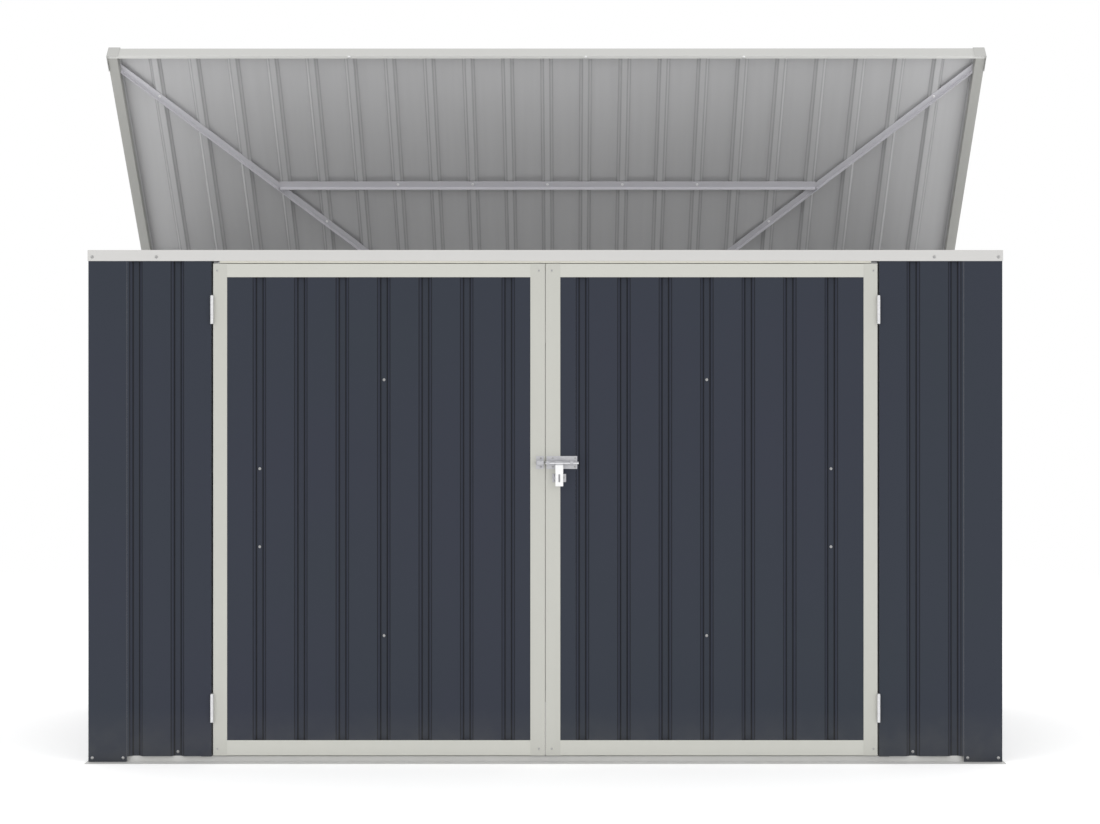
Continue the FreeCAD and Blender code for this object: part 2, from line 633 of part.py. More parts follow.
def door_leaf(name, bottom, plate_x, segments):
    """One leaf of a left door hinge, with its knuckles: each segment is a third of the height."""
    third = "door_leaf_height / 3"
    parts = [box(f"{name}_plate", plate_x, (FRONT, f"{FRONT} + door_leaf_width"),
                 (bottom, f"{bottom} + door_leaf_height"))]
    for index in segments:
        span = [f"{bottom} + {index} * {third}", f"{bottom} + {index + 1} * {third}"]
        if index > 0:
            span[0] += " + knuckle_gap / 2"
        if index < 2:
            span[1] += " - knuckle_gap / 2"
        parts.append(box(f"{name}_tab{index}", plate_x, (PIN_Y, FRONT), span))
        parts.append(cylinder(f"{name}_knuckle{index}", "knuckle", "Z", span, f"-{PIN_X}", PIN_Y))
    bore = cylinder(f"{name}_bore", BORE, "Z", (bottom, f"{bottom} + door_leaf_height"), f"-{PIN_X}", PIN_Y)
    return cut(name, fuse(f"{name}_body", parts), bore)


def pin_with_head(name, axis, span, first, second):
    head = (span[1], f"{span[1]} + leaf")
    shank = cylinder(f"{name}_shank", "pin", axis, span, first, second)
    return fuse(name, [shank, cylinder(f"{name}_head", "pin_head", axis, head, first, second)])


jamb_leaves, door_leaves, pins = [], [], []
for index, bottom in enumerate(HINGE_BOTTOMS):
    top = f"{bottom} + door_leaf_height"
    jamb_leaves.append(door_leaf(f"jamb_leaf{index}", bottom, (f"-{JAMB}", f"-{JAMB} + leaf"), [0, 2]))
    door_leaves.append(door_leaf(f"door_leaf{index}", bottom, ("-door_reach - leaf", "-door_reach"), [1]))
    pins.append(pin_with_head(f"door_pin{index}", "Z", (bottom, top), f"-{PIN_X}", PIN_Y))
jamb_left = group("jamb_leaves_left", jamb_leaves)
jamb_both = group("door_hinge_jamb_leaves", [jamb_left, mirrored("jamb_leaves_right", jamb_left)])
node("door_hinge_jamb_leaves", jamb_both)
leaves_left = group("door_left_hinge_leaves", door_leaves)
node("door_left_hinge_leaves", leaves_left)
node("door_right_hinge_leaves", mirrored("door_right_hinge_leaves", leaves_left))
door_pins = group("door_pins_left", pins)


# Doors: the left one is drawn and the right one is its mirror image

DOOR_BACK = f"({FRONT} + door_depth)"
SEAM = "(door_seam / 2)"
STILE_IN = "(door_reach - hinge_stile)"
MEETING_IN = f"({SEAM} + meeting_stile)"


def channel(edge, inner, way):
    """A stile's outline: face, outer web and back flange, from its edge inward."""
    web, back = f"{edge} {way} frame_steel", f"{edge} {way} back_flange"
    return [
        (edge, FRONT), (inner, FRONT), (inner, f"{FRONT} + frame_steel"), (web, f"{FRONT} + frame_steel"),
        (web, f"{DOOR_BACK} - frame_steel"), (back, f"{DOOR_BACK} - frame_steel"), (back, DOOR_BACK),
        (edge, DOOR_BACK),
    ]


def door_rail(name, edge, inner, way, tab):
    """A rail between the stiles, with a tab behind each of them."""
    web, back = f"{edge} {way} frame_steel", f"{edge} {way} back_flange"
    bar = pad(f"{name}_bar", "YZ", [
        (FRONT, edge), (FRONT, inner), (f"{FRONT} + frame_steel", inner), (f"{FRONT} + frame_steel", web),
        (f"{DOOR_BACK} - frame_steel", web), (f"{DOOR_BACK} - frame_steel", back), (DOOR_BACK, back),
        (DOOR_BACK, edge),
    ], (f"-{STILE_IN}", f"-{MEETING_IN}"))
    tab_y = (f"{FRONT} + frame_steel", f"{FRONT} + 2 * frame_steel")
    outer_x = (f"-({STILE_IN} + tab_reach)", f"-({STILE_IN} - sheet_lap)")
    inner_x = (f"-({MEETING_IN} + sheet_lap)", f"-({MEETING_IN} - tab_reach)")
    tabs = [box(f"{name}_outer_tab", outer_x, tab_y, tab), box(f"{name}_inner_tab", inner_x, tab_y, tab)]
    return fuse(name, [bar] + tabs)


door_z = ("door_bottom", DOOR_TOP)
hinge_outline = channel("-door_reach", f"-{STILE_IN}", "+")
hinge_stile = pad("door_left_hinge_stile", "XY", hinge_outline, door_z)
meeting_outline = channel(f"-{SEAM}", f"-{MEETING_IN}", "-")
meeting_stile = pad("door_left_meeting_stile", "XY", meeting_outline, door_z)
rail_top = door_rail("door_left_top_rail", DOOR_TOP, f"{DOOR_TOP} - top_rail", "-",
                     (f"{DOOR_TOP} - ground_gap - tab_height", f"{DOOR_TOP} - ground_gap"))
rail_bottom = door_rail("door_left_bottom_rail", "door_bottom", "door_bottom + bottom_rail", "+",
                        ("door_bottom + ground_gap", "door_bottom + ground_gap + tab_height"))

DOOR_SHEET_X = (f"-({STILE_IN} + sheet_lap)", f"-({MEETING_IN} - sheet_lap)")
DOOR_SHEET_Z = ("door_bottom + bottom_rail - sheet_lap", f"{DOOR_TOP} - top_rail + sheet_lap")
LAST_RIB = "(door_rib + 6 * rib_pitch)"
door_ribs = ribbed("door_ribs", f"-({LAST_RIB} + rib_pitch)", 9, DOOR_TOP)
bind(door_ribs, Placement__Base__y=f"{FRONT} + frame_steel")
door_space = box("door_space", DOOR_SHEET_X, (FRONT, DOOR_BACK), DOOR_SHEET_Z)
door_sheet = common("door_left_sheet", door_ribs, door_space)

BRACE_Y = f"({FRONT} + frame_steel + {INNER})"


def door_brace(name, height, tilt):
    """A channel that crosses its rib at the given height and is cut off at the edges of the sheet."""
    half, depth = "brace_width / 2", "brace_lip"
    bar = pad(f"{name}_bar", "YZ", [
        ("0", f"-{half}"), ("0", half), (depth, half), (depth, f"{half} - frame_steel"),
        ("frame_steel", f"{half} - frame_steel"), ("frame_steel", f"-{half} + frame_steel"),
        (depth, f"-{half} + frame_steel"), (depth, f"-{half}"),
    ], ("-door_height / 4", "door_height"))
    bar.Placement = Placement(Vector(), Rotation(Y, 1))
    bind(bar, Placement__Rotation__Angle=tilt)
    bind(bar, Placement__Base__x=f"-{LAST_RIB}", Placement__Base__y=BRACE_Y, Placement__Base__z=height)
    return common(name, bar, door_space)


braces = group("door_left_braces", [
    door_brace("upper_door_brace", "brace_upper", "360 - brace_slope"),
    door_brace("lower_door_brace", "brace_lower", "brace_slope"),
])
door_pieces = {
    "hinge_stile": hinge_stile, "meeting_stile": meeting_stile,
    "rails": group("door_left_rails", [rail_top, rail_bottom]), "sheet": door_sheet, "braces": braces,
}
for label, item in door_pieces.items():
    node(f"door_left_{label}", item, ["door_left"])
    node(f"door_right_{label}", mirrored(f"door_right_{label}", item), ["door_right"])


# Latch

BOLT_Y = f"({FRONT} - bolt_stand)"
PLATE_Y = (f"{FRONT} - plate_steel", FRONT)
PLATE_Z = ("bolt_height - plate_drop", "bolt_height - plate_drop + plate_height")
BOLT_BORE = "(bolt_radius + bolt_play)"


def over_bolt(name, plate_x, straps, play):
    """A plate on a door with bent straps that the bolt slides under."""
    inside = f"(bolt_radius + {play})"
    outside = f"({inside} + plate_steel)"
    top, shoulder = f"{BOLT_Y} - {outside}", f"{outside} - strap_bend"
    outline = [
        (FRONT, f"bolt_height - {outside}"), (f"{top} + strap_bend", f"bolt_height - {outside}"),
        (top, f"bolt_height - ({shoulder})"), (top, f"bolt_height + ({shoulder})"),
        (f"{top} + strap_bend", f"bolt_height + {outside}"), (FRONT, f"bolt_height + {outside}"),
        (FRONT, f"bolt_height + {inside}"), (f"{BOLT_Y} - {inside}", f"bolt_height + {inside}"),
        (f"{BOLT_Y} - {inside}", f"bolt_height - {inside}"), (FRONT, f"bolt_height - {inside}"),
    ]
    parts = [box(f"{name}_plate", plate_x, PLATE_Y, PLATE_Z)]
    for index, span in enumerate(straps):
        parts.append(pad(f"{name}_strap{index}", "YZ", outline, span))
    return fuse(name, parts)


plate = over_bolt("latch_plate", ("plate_left", "plate_right"), [
    ("plate_left", "plate_left + strap_width"), ("strap_far", "strap_far + strap_width")], "bolt_play")
node("latch_plate", plate, ["door_right"])
KEEPER_X = ("-keeper_left", "-keeper_right")
keeper = over_bolt("latch_keeper", KEEPER_X, [("-keeper_left + plate_steel", "-keeper_right")], "keeper_play")
node("latch_keeper", keeper, ["door_left"])

FLAP_RIGHT = "(flap_left + flap_width)"
bolt_parts = [cylinder("bolt_shank", "bolt_radius", "X", (SEAM, "bolt_end"), BOLT_Y, "bolt_height")]
for name, left in [("near", "flap_left - bolt_play - collar_width"), ("far", f"{FLAP_RIGHT} + bolt_play")]:
    span = (left, f"{left} + collar_width")
    bolt_parts.append(cylinder(f"{name}_collar", "collar", "X", span, BOLT_Y, "bolt_height"))
node("latch_bolt", fuse("latch_bolt", bolt_parts))

FLAP_X = ("flap_left", FLAP_RIGHT)
FLAP_OUT = f"({BOLT_Y} - flap_eye - bolt_play)"
FLAP_Y = (FLAP_OUT, f"{FLAP_OUT} + flap_steel")
flap_body = fuse("flap_body", [
    cylinder("flap_ring", "flap_eye", "X", FLAP_X, BOLT_Y, "bolt_height"),
    box("flap_plate", FLAP_X, FLAP_Y, ("bolt_height - flap_length", "bolt_height - flap_root")),
])
FLAP_MIDDLE = "flap_left + flap_width / 2"
SLOT_X = (f"{FLAP_MIDDLE} - slot_width / 2", f"{FLAP_MIDDLE} + slot_width / 2")
flap_slot = box("flap_slot", SLOT_X, FLAP_Y, ("bolt_height - slot_bottom", "bolt_height - slot_top"))
flap_bore = cylinder("flap_bore", BOLT_BORE, "X", FLAP_X, BOLT_Y, "bolt_height")
node("latch_flap", cut("latch_flap", cut("flap_slotted", flap_body, flap_slot), flap_bore))

LOOP_RADIUS = "(loop_height / 2 - loop_wire)"
LOOP_Y = f"({FRONT} - loop_out + loop_wire + {LOOP_RADIUS})"
ring = doc.addObject("Part::Torus", "loop_ring")
ring.Placement = Placement(Vector(), Rotation(Y, 90))
bind(ring, Radius1=LOOP_RADIUS, Radius2="loop_wire")
bind(ring, Placement__Base__x="loop_place", Placement__Base__y=LOOP_Y, Placement__Base__z="loop_middle")
ahead = box("loop_space", around("loop_place", "loop_height"), (f"{FRONT} - 2 * loop_out", LOOP_Y),
            ("loop_middle - loop_height", "loop_middle + loop_height"))
legs = []
for name, sign in [("lower", "-"), ("upper", "+")]:
    legs.append(cylinder(f"{name}_loop_leg", "loop_wire", "Y", (LOOP_Y, FRONT), "loop_place",
                         f"loop_middle {sign} {LOOP_RADIUS}"))
staple_plate = box("staple_plate", ("staple_left", "staple_right"), PLATE_Y, ("staple_bottom", "staple_top"))
staple = fuse("latch_staple", [staple_plate, common("loop_bow", ring, ahead)] + legs)
node("latch_staple", staple, ["door_right"])


# Lid, drawn flat round its hinge axis: the free edge lies toward -Y and Z is square to the sheets

LID_X = "(lid_width / 2)"
LID_EDGE = f"(-{LID_LENGTH})"
LID_BACK = "(-(lid_hinge_offset - rail_proud))"
LID_TOP = ("lid_height - frame_steel", "lid_height")
LOW = ("lid_rest", "lid_rest + frame_steel")
LIP_TOP = "(lid_height - frame_steel - 2 * lap_step - sheet_steel - rib_depth)"
FLANGE_IN = f"({LID_X} - lid_side_flange)"
RETURN_Y = f"({LID_EDGE} + lid_return)"

front_web = pad("lid_front_rail", "YZ", [
    (RETURN_Y, "lid_rest"), (LID_EDGE, "lid_rest"), (LID_EDGE, "lid_height"), (RETURN_Y, "lid_height"),
    (RETURN_Y, LID_TOP[0]), (f"{LID_EDGE} + frame_steel", LID_TOP[0]), (f"{LID_EDGE} + frame_steel", LOW[1]),
    (RETURN_Y, LOW[1]),
], (f"-{LID_X}", LID_X))
node("lid_front_rail", front_web, ["lid"])

side_web = pad("lid_side_rail_left", "XZ", [
    (f"-{LID_X}", "lid_rest"), (f"-{FLANGE_IN}", "lid_rest"), (f"-{FLANGE_IN}", LIP_TOP),
    (f"-({FLANGE_IN} + frame_steel)", LIP_TOP), (f"-({FLANGE_IN} + frame_steel)", LOW[1]),
    (f"-({LID_X} - frame_steel)", LOW[1]), (f"-({LID_X} - frame_steel)", LID_TOP[0]),
    (f"-({LID_X} - lid_top_flange)", LID_TOP[0]), (f"-({LID_X} - lid_top_flange)", "lid_height"),
    (f"-{LID_X}", "lid_height"),
], (RETURN_Y, LID_BACK))
node("lid_side_rail_left", side_web, ["lid"])
node("lid_side_rail_right", mirrored("lid_side_rail_right", side_web), ["lid"])

REAR_LIP = f"({LID_BACK} - lid_side_flange)"
rear_web = pad("lid_rear_rail", "YZ", [
    (LID_BACK, "lid_rest"), (LID_BACK, "lid_height"), (f"{LID_BACK} - lid_top_flange", "lid_height"),
    (f"{LID_BACK} - lid_top_flange", LID_TOP[0]), (f"{LID_BACK} - frame_steel", LID_TOP[0]),
    (f"{LID_BACK} - frame_steel", LOW[1]), (f"{REAR_LIP} + frame_steel", LOW[1]),
    (f"{REAR_LIP} + frame_steel", LIP_TOP), (REAR_LIP, LIP_TOP), (REAR_LIP, "lid_rest"),
], (f"-{FLANGE_IN}", FLANGE_IN))
node("lid_rear_rail", rear_web, ["lid"])

cap_shell = box("cap_shell", (f"-({LID_X} + cap_steel)", f"-({LID_X} - cap_length)"),
                (f"{LID_EDGE} - cap_steel", f"{LID_EDGE} + cap_side"), ("-cap_rise", "lid_height + cap_rise"))
cap_inside = ("-2 * cap_rise", "lid_height + cap_rise - cap_steel")
cap_room = box("cap_room", (f"-{LID_X}", "0"), (LID_EDGE, "0"), cap_inside)
cap = cut("lid_corner_cap", cap_shell, cap_room)
node("lid_corner_caps", group("lid_corner_caps", [cap, mirrored("other_corner_cap", cap)]))

RIB_IN = "rib_floor / 2"
RIB_OUT = "(rib_floor / 2 + rib_flank + lap_edge)"
LID_SHEET_X = f"({LID_X} - frame_steel - hole_play)"
LID_SHEETS = [
    (-11, -5, f"-{LID_SHEET_X}", f"-5 * rib_pitch + {RIB_IN}", 1),
    (-5, 1, f"-5 * rib_pitch - {RIB_OUT}", f"rib_pitch + {RIB_OUT}", 0),
    (1, 5, f"rib_pitch - {RIB_IN}", f"5 * rib_pitch + {RIB_OUT}", 1),
    (5, 11, f"5 * rib_pitch - {RIB_IN}", LID_SHEET_X, 2),
]
SHEET_Y = (f"{LID_EDGE} + frame_steel + hole_play", f"{LID_BACK} - frame_steel - hole_play")
for number, (first, last, left, right, level) in enumerate(LID_SHEETS, 1):
    ribs = ribbed(f"lid_ribs{number}", f"{first - 1} * rib_pitch", last - first + 3, LID_LENGTH)
    ribs.Placement = Placement(Vector(), Rotation(X, -90))
    height = f"lid_height - frame_steel - {level} * lap_step"
    bind(ribs, Placement__Base__y=LID_EDGE, Placement__Base__z=height)
    room = box(f"lid_sheet_room{number}", (left, right), SHEET_Y, ("0", "lid_height"))
    node(f"lid_sheet_{number}", common(f"lid_sheet_{number}", ribs, room), ["lid"])

RUN = "atan(1 / lid_brace_run)"
DIAGONAL_Y = f"{LID_EDGE} + diagonal_start"
half = "diagonal_width / 2"
diagonal_bar = pad("diagonal_bar", "YZ", [
    (f"-{half}", "0"), (half, "0"), (half, "-brace_lip"), (f"{half} - frame_steel", "-brace_lip"),
    (f"{half} - frame_steel", "-frame_steel"), (f"-{half}", "-frame_steel"),
], ("0", f"{LID_LENGTH} * 2"))
diagonal_bar.Placement = Placement(Vector(), Rotation(Z, 1))
bind(diagonal_bar, Placement__Rotation__Angle=RUN)
bind(diagonal_bar, Placement__Base__x=f"-{LID_X}", Placement__Base__y=DIAGONAL_Y, Placement__Base__z=LIP_TOP)
brace_y = (f"{LID_EDGE} + frame_steel", REAR_LIP)
brace_room = box("brace_room", both(FLANGE_IN), brace_y, ("lid_rest", LIP_TOP))
diagonal = common("lid_diagonal_brace", diagonal_bar, brace_room)
diagonals = group("lid_diagonal_braces", [diagonal, mirrored("other_diagonal", diagonal)])
node("lid_diagonal_braces", diagonals, ["lid"])

CROSS_Y, CROSS_TOP = f"({LID_EDGE} + cross_place)", f"({LIP_TOP} - frame_steel)"
cross_half = "cross_width / 2"
cross = pad("lid_cross_brace", "YZ", [
    (f"{CROSS_Y} - {cross_half}", CROSS_TOP), (f"{CROSS_Y} - {cross_half}", f"{CROSS_TOP} - frame_steel"),
    (f"{CROSS_Y} + {cross_half} - frame_steel", f"{CROSS_TOP} - frame_steel"),
    (f"{CROSS_Y} + {cross_half} - frame_steel", f"{CROSS_TOP} - brace_lip"),
    (f"{CROSS_Y} + {cross_half}", f"{CROSS_TOP} - brace_lip"), (f"{CROSS_Y} + {cross_half}", CROSS_TOP),
], both("cross_reach"))
node("lid_cross_brace", cross, ["lid"])


# Lid hinges

LID_HINGES = ["-lid_hinge_place", "0", "lid_hinge_place"]


def lid_leaf(name, middle, plate_y, plate_z, tab_z, segments, axis):
    """One leaf of a lid hinge, with its knuckles: each segment is a third of its length."""
    third, left = "lid_leaf_width / 3", f"{middle} - lid_leaf_width / 2"
    parts = [box(f"{name}_plate", (left, f"{left} + lid_leaf_width"), plate_y, plate_z)]
    for index in segments:
        span = [f"{left} + {index} * {third}", f"{left} + {index + 1} * {third}"]
        if index > 0:
            span[0] += " + knuckle_gap / 2"
        if index < 2:
            span[1] += " - knuckle_gap / 2"
        parts.append(box(f"{name}_tab{index}", span, plate_y, tab_z))
        parts.append(cylinder(f"{name}_knuckle{index}", "knuckle", "X", span, *axis))
    bore = cylinder(f"{name}_bore", BORE, "X", (left, f"{left} + lid_leaf_width"), *axis)
    return cut(name, fuse(f"{name}_body", parts), bore)


CLEAR = "(knuckle + knuckle_gap)"
body_leaves, lid_leaves, lid_pins = [], [], []
for index, middle in enumerate(LID_HINGES):
    body_leaves.append(lid_leaf(
        f"lid_body_leaf{index}", middle, (REAR_RAIL_OUT, f"{REAR_RAIL_OUT} + leaf"),
        (f"{HINGE_Z} - lid_leaf_height", f"{HINGE_Z} - {CLEAR}"), (f"{HINGE_Z} - {CLEAR}", HINGE_Z),
        [0, 2], (HINGE_Y, HINGE_Z)))
    lid_leaves.append(lid_leaf(
        f"lid_leaf{index}", middle, (LID_BACK, f"{LID_BACK} + leaf"),
        (CLEAR, "lid_leaf_height"), ("0", CLEAR), [1], ("0", "0")))
    span = (f"{middle} - lid_leaf_width / 2", f"{middle} + lid_leaf_width / 2")
    lid_pins.append(pin_with_head(f"lid_pin{index}", "X", span, HINGE_Y, HINGE_Z))
node("lid_hinge_body_leaves", group("lid_hinge_body_leaves", body_leaves), ["body"])
node("lid_hinge_leaves", group("lid_hinge_leaves", lid_leaves), ["lid"])
node("hinge_pins", group("hinge_pins", [door_pins, mirrored("door_pins_right", door_pins)] + lid_pins))


# Gas struts: both studs lie equally far from the hinge axis, so a strut turns at half the lid's rate

STRUT_DROP = "sqrt(strut_reach * strut_reach - strut_back * strut_back)"
WALL_STUD = (f"({HINGE_Y} - strut_back)", f"({HINGE_Z} - {STRUT_DROP})")
LID_STUD = ("(-sqrt(strut_reach * strut_reach - strut_lift * strut_lift))", "strut_lift")
STUD_TILT = "(roof_fall + lid_swing + asin(strut_lift / strut_reach) / 1 deg)"
LEAN = f"(({STUD_TILT} + asin(strut_back / strut_reach) / 1 deg - 90) / 2)"
OPEN_STUD = (f"({HINGE_Y} - strut_reach * cos({STUD_TILT}))", f"({HINGE_Z} + strut_reach * sin({STUD_TILT}))")
STRUT_X = f"(strut_inset - min({SIDE_OUT}; {FLANGE_IN}))"
EYE_X = (f"{STRUT_X} - strut_eye_width / 2", f"{STRUT_X} + strut_eye_width / 2")


def stud(name, foot, y, z):
    """A stud with a shoulder behind the eye and a head in front of it."""
    head = f"{EYE_X[1]} + bush_play"
    return [
        cylinder(f"{name}_shank", "stud", "X", (foot, head), y, z),
        cylinder(f"{name}_shoulder", "stud_head", "X", (foot, f"{EYE_X[0]} - bush_play"), y, z),
        cylinder(f"{name}_head", "stud_head", "X", (head, f"{head} + bracket_steel"), y, z),
    ]


def pair(name, item):
    return group(name, [item, mirrored(f"{name}_right", item)])


wall_y, wall_z = WALL_STUD
plate_x = (f"-{SIDE_OUT}", f"-{SIDE_OUT} + bracket_steel")
stand_x = (plate_x[1], f"{EYE_X[0]} - strut_eye_width")
stand_y, stand_z = around(wall_y, "bracket_stand"), around(wall_z, "bracket_stand")
wall_plate = box("wall_bracket_plate", plate_x, around(wall_y, "wall_bracket_length"),
                 around(wall_z, "wall_bracket_height"))
stand = box("wall_bracket_stand", stand_x, stand_y, stand_z)
stand_room = box("wall_bracket_room", (stand_x[0], f"{stand_x[1]} - bracket_steel"),
                 around(wall_y, "(bracket_stand - 2 * bracket_steel)"), stand_z)
hollow_stand = cut("wall_bracket_hollow", stand, stand_room)
wall_stud = stud("wall_stud", stand_x[1], wall_y, wall_z)
wall_bracket = fuse("wall_bracket", [wall_plate, hollow_stand] + wall_stud)
node("strut_wall_brackets", pair("strut_wall_brackets", wall_bracket), ["body"])

lid_y, lid_z = LID_STUD
lid_plate_x = (f"-{FLANGE_IN}", f"-{FLANGE_IN} + bracket_steel")
lid_plate = box("lid_bracket_plate", lid_plate_x, around(lid_y, "lid_bracket_length"),
                (LOW[1], f"{LIP_TOP} - frame_steel"))
lid_bracket = fuse("lid_bracket", [lid_plate] + stud("lid_stud", lid_plate_x[1], lid_y, lid_z))
node("strut_lid_brackets", pair("strut_lid_brackets", lid_bracket))


def strut_eye(name):
    """A strut's end eye, round its stud."""
    return cylinder(f"{name}_eye", "strut_eye", "X", EYE_X, "0", "0")


def along_strut(item, place):
    """Turn a piece that is drawn upright from its stud into the open strut's line."""
    item.Placement = Placement(Vector(), Rotation(X, 1))
    bind(item, Placement__Rotation__Angle=f"360 - {LEAN}")
    bind(item, Placement__Base__y=place[0], Placement__Base__z=place[1])
    return item


def strut_shaft(name, radius, span):
    return cylinder(name, radius, "Z", span, STRUT_X, "0")


def bored(name, item):
    """A strut's end with the hole for its stud."""
    return cut(f"{name}_bored", item, cylinder(f"{name}_bore", "stud + stud_play", "X", EYE_X, "0", "0"))


MOUTH = "(cylinder_end - mouth_bush)"
tube_wall = strut_shaft("tube_wall", "cylinder_outer", ("0", "cylinder_end"))
tube = fuse("strut_tube", [strut_eye("tube"), tube_wall])
tube = cut("tube_with_chamber", tube, strut_shaft("chamber", "cylinder_inner", ("cylinder_foot", MOUTH)))
tube = cut("tube_with_mouth", tube, strut_shaft("mouth", "rod_radius + bush_play", (MOUTH, "cylinder_end")))
OUTSIDE_EYE = [(f"{EYE_X[0]} - cylinder_outer", EYE_X[0]), (EYE_X[1], f"{EYE_X[1]} + cylinder_outer")]
for number, x in enumerate(OUTSIDE_EYE):
    flat = box(f"tube_flat{number}", x, both("cylinder_outer"), ("-cylinder_outer", "cylinder_neck"))
    tube = cut(f"tube_flattened{number}", tube, flat)
rod = fuse("strut_rod", [
    strut_eye("rod"), strut_shaft("rod_bar", "rod_radius", ("-rod_reach", "-stud")),
    strut_shaft("rod_piston", "piston", ("-rod_reach", "-rod_reach + piston_length")),
])
for label, item, place in [("cylinder", tube, WALL_STUD), ("rod", rod, OPEN_STUD)]:
    left = along_strut(group(f"strut_{label}_left", [bored(label, item)]), place)
    node(f"strut_{label}_left", left)
    node(f"strut_{label}_right", mirrored(f"strut_{label}_right", left))
doc.recompute()


# Fasteners: places in the frame of the pieces that they hold, with the way the shank points

COVER_IN = f"({WALL} - cover_front)"
RIB_FLOOR_Y = f"({FRONT} + rib_depth)"
body_places = []
for side in ("-", ""):
    inward = "+X" if side else "-X"
    for x in (f"({WALL} - screw_edge)", f"({COVER_IN} + screw_edge)"):
        body_places.append((SCREW, f"{side}{x}", f"{FRONT} - sheet_steel", "foot_screw", "+Y"))
    for x in (f"({WALL} - screw_edge)", "rail_screw"):
        body_places.append((SCREW, f"{side}{x}", RAIL_FRONT, f"{RAIL_BOTTOM} + rail_screw_rise", "+Y"))
    body_places.append((SCREW, f"{side}panel_rib", RIB_FLOOR_Y, "panel_screw", "+Y"))
    wall_rib = f"{side}({WALL} - rib_depth)"
    for number in (2, 4, 5, 7):
        body_places.append((SCREW, wall_rib, side_rib(number), "panel_screw", inward))
    for number in (1.5, 4.5, 7.5):
        height = f"{seat(side_rib(number))} - rail_height + rail_screw_rise"
        body_places.append((SCREW, f"{side}({WALL} + rail_proud)", side_rib(number), height, inward))
    for number in (1, 2):
        body_places.append((SCREW, wall_rib, side_rib(number), wall_z, inward))
    for rib, level in ((10, "0"), (6, "0"), (2, "sheet_steel")):
        for height in ("panel_screw", "mid_rail_height"):
            rib_y = f"{REAR} + {level} - rib_depth"
            body_places.append((SCREW, f"{side}{rib} * rib_pitch", rib_y, height, "-Y"))
    for x in ("9.5 * rib_pitch", "5.5 * rib_pitch", "1.5 * rib_pitch"):
        height = f"{REAR_RAIL_BOTTOM} + rail_screw_rise"
        body_places.append((SCREW, f"{side}{x}", REAR_RAIL_OUT, height, "-Y"))
for middle in LID_HINGES:
    for x in (f"{middle} - lid_leaf_width / 3", f"{middle} + lid_leaf_width / 3"):
        body_places.append((SCREW, x, f"{REAR_RAIL_OUT} + leaf", f"{HINGE_Z} - leaf_screw", "-Y"))
holes = {"body": fasten("body_screws", body_places)}

lid_places = []
for x in ("-5 * rib_pitch", "rib_pitch", "5 * rib_pitch"):
    lid_places.append((SCREW, x, f"{LID_EDGE} + lid_return / 2", "lid_rest", "+Z"))
for rib in (-4, -2, 0, 2, 4):
    lid_places.append((SCREW, f"{rib} * rib_pitch", CROSS_Y, f"{CROSS_TOP} - frame_steel", "+Z"))
for rib in (10, 6):
    place = f"{DIAGONAL_Y} + ({LID_X} - {rib} * rib_pitch) / lid_brace_run"
    for side in ("-", ""):
        lid_places.append((SCREW, f"{side}{rib} * rib_pitch", place, f"{LIP_TOP} - frame_steel", "+Z"))
for middle in LID_HINGES:
    for x in (f"{middle} - lid_leaf_width / 3", f"{middle} + lid_leaf_width / 3"):
        lid_places.append((SCREW, x, f"{LID_BACK} + leaf", "leaf_screw", "-Y"))
for x in ("-8.5 * rib_pitch", "-2.5 * rib_pitch", "2.5 * rib_pitch", "8.5 * rib_pitch"):
    lid_places.append((SCREW, x, f"{LID_EDGE} + lid_return / 2", "lid_height", "-Z"))
    lid_places.append((SCREW, x, f"{LID_BACK} - lid_top_flange / 2", "lid_height", "-Z"))
holes["lid"] = fasten("lid_screws", lid_places)

CORNER_X = ("(door_reach - rivet_outer)", f"({SEAM} + rivet_inner)")
CORNER_Z = ("(door_bottom + rivet_in)", f"({DOOR_TOP} - rivet_in)")
SCREW_SEAT = f"{FRONT} + frame_steel + rib_depth"
FIXING_Z = ("(bolt_height + fixing_rise)", "(bolt_height - fixing_drop)")
LATCH_FIXINGS = {"left": [("-keeper_left / 2", z) for z in FIXING_Z]}
LATCH_FIXINGS["right"] = [(x, z) for x in ("(plate_right - rivet_edge)", "plate_rivet") for z in FIXING_Z]
LATCH_FIXINGS["right"].append(("(staple_right - rivet_edge)", "loop_middle"))
for side, sign in (("left", "-"), ("right", "")):
    fixings = [(RIVET, f"{sign}{x}", FRONT, z, "+Y") for x in CORNER_X for z in CORNER_Z]
    fixings += [(RIVET, x, f"{FRONT} - plate_steel", z, "+Y") for x, z in LATCH_FIXINGS[side]]
    for run in ("0", "3 * rib_pitch"):
        for height in (f"brace_upper + {run} * tan(brace_slope)", f"brace_lower - {run} * tan(brace_slope)"):
            fixings.append((SCREW, f"{sign}({LAST_RIB} - {run})", SCREW_SEAT, height, "+Y"))
    holes[f"door_{side}"] = fasten(f"door_{side}_fixings", fixings)


# Holes, and the lid and its pieces tilted to the open pose

ON_LID = ["lid_screws", "lid_corner_caps", "strut_lid_brackets"]
for name, (item, fixed) in list(nodes.items()):
    for owner in fixed:
        item = drilled(name, item, holes[owner])
    if "lid" in fixed or name in ON_LID:
        item = on_roof(group(f"{name}_open", [item]), "roof_fall + lid_swing")
    nodes[name] = (item, fixed)
    item.Label = name
doc.recompute()


# Check every object, then write each node

for item in doc.Objects:
    if "Invalid" in item.State or "Error" in item.State:
        raise RuntimeError(f"{item.Name} failed: {item.State}")
for name, (item, fixed) in nodes.items():
    if item.Shape.isNull() or not item.Shape.isValid() or item.Shape.Volume <= 0:
        raise RuntimeError(f"{name} has no sound shape")
os.makedirs("parts", exist_ok=True)
for name, (item, fixed) in nodes.items():
    item.Shape.exportStep(f"parts/{name}.step")
print(len(nodes), "nodes")
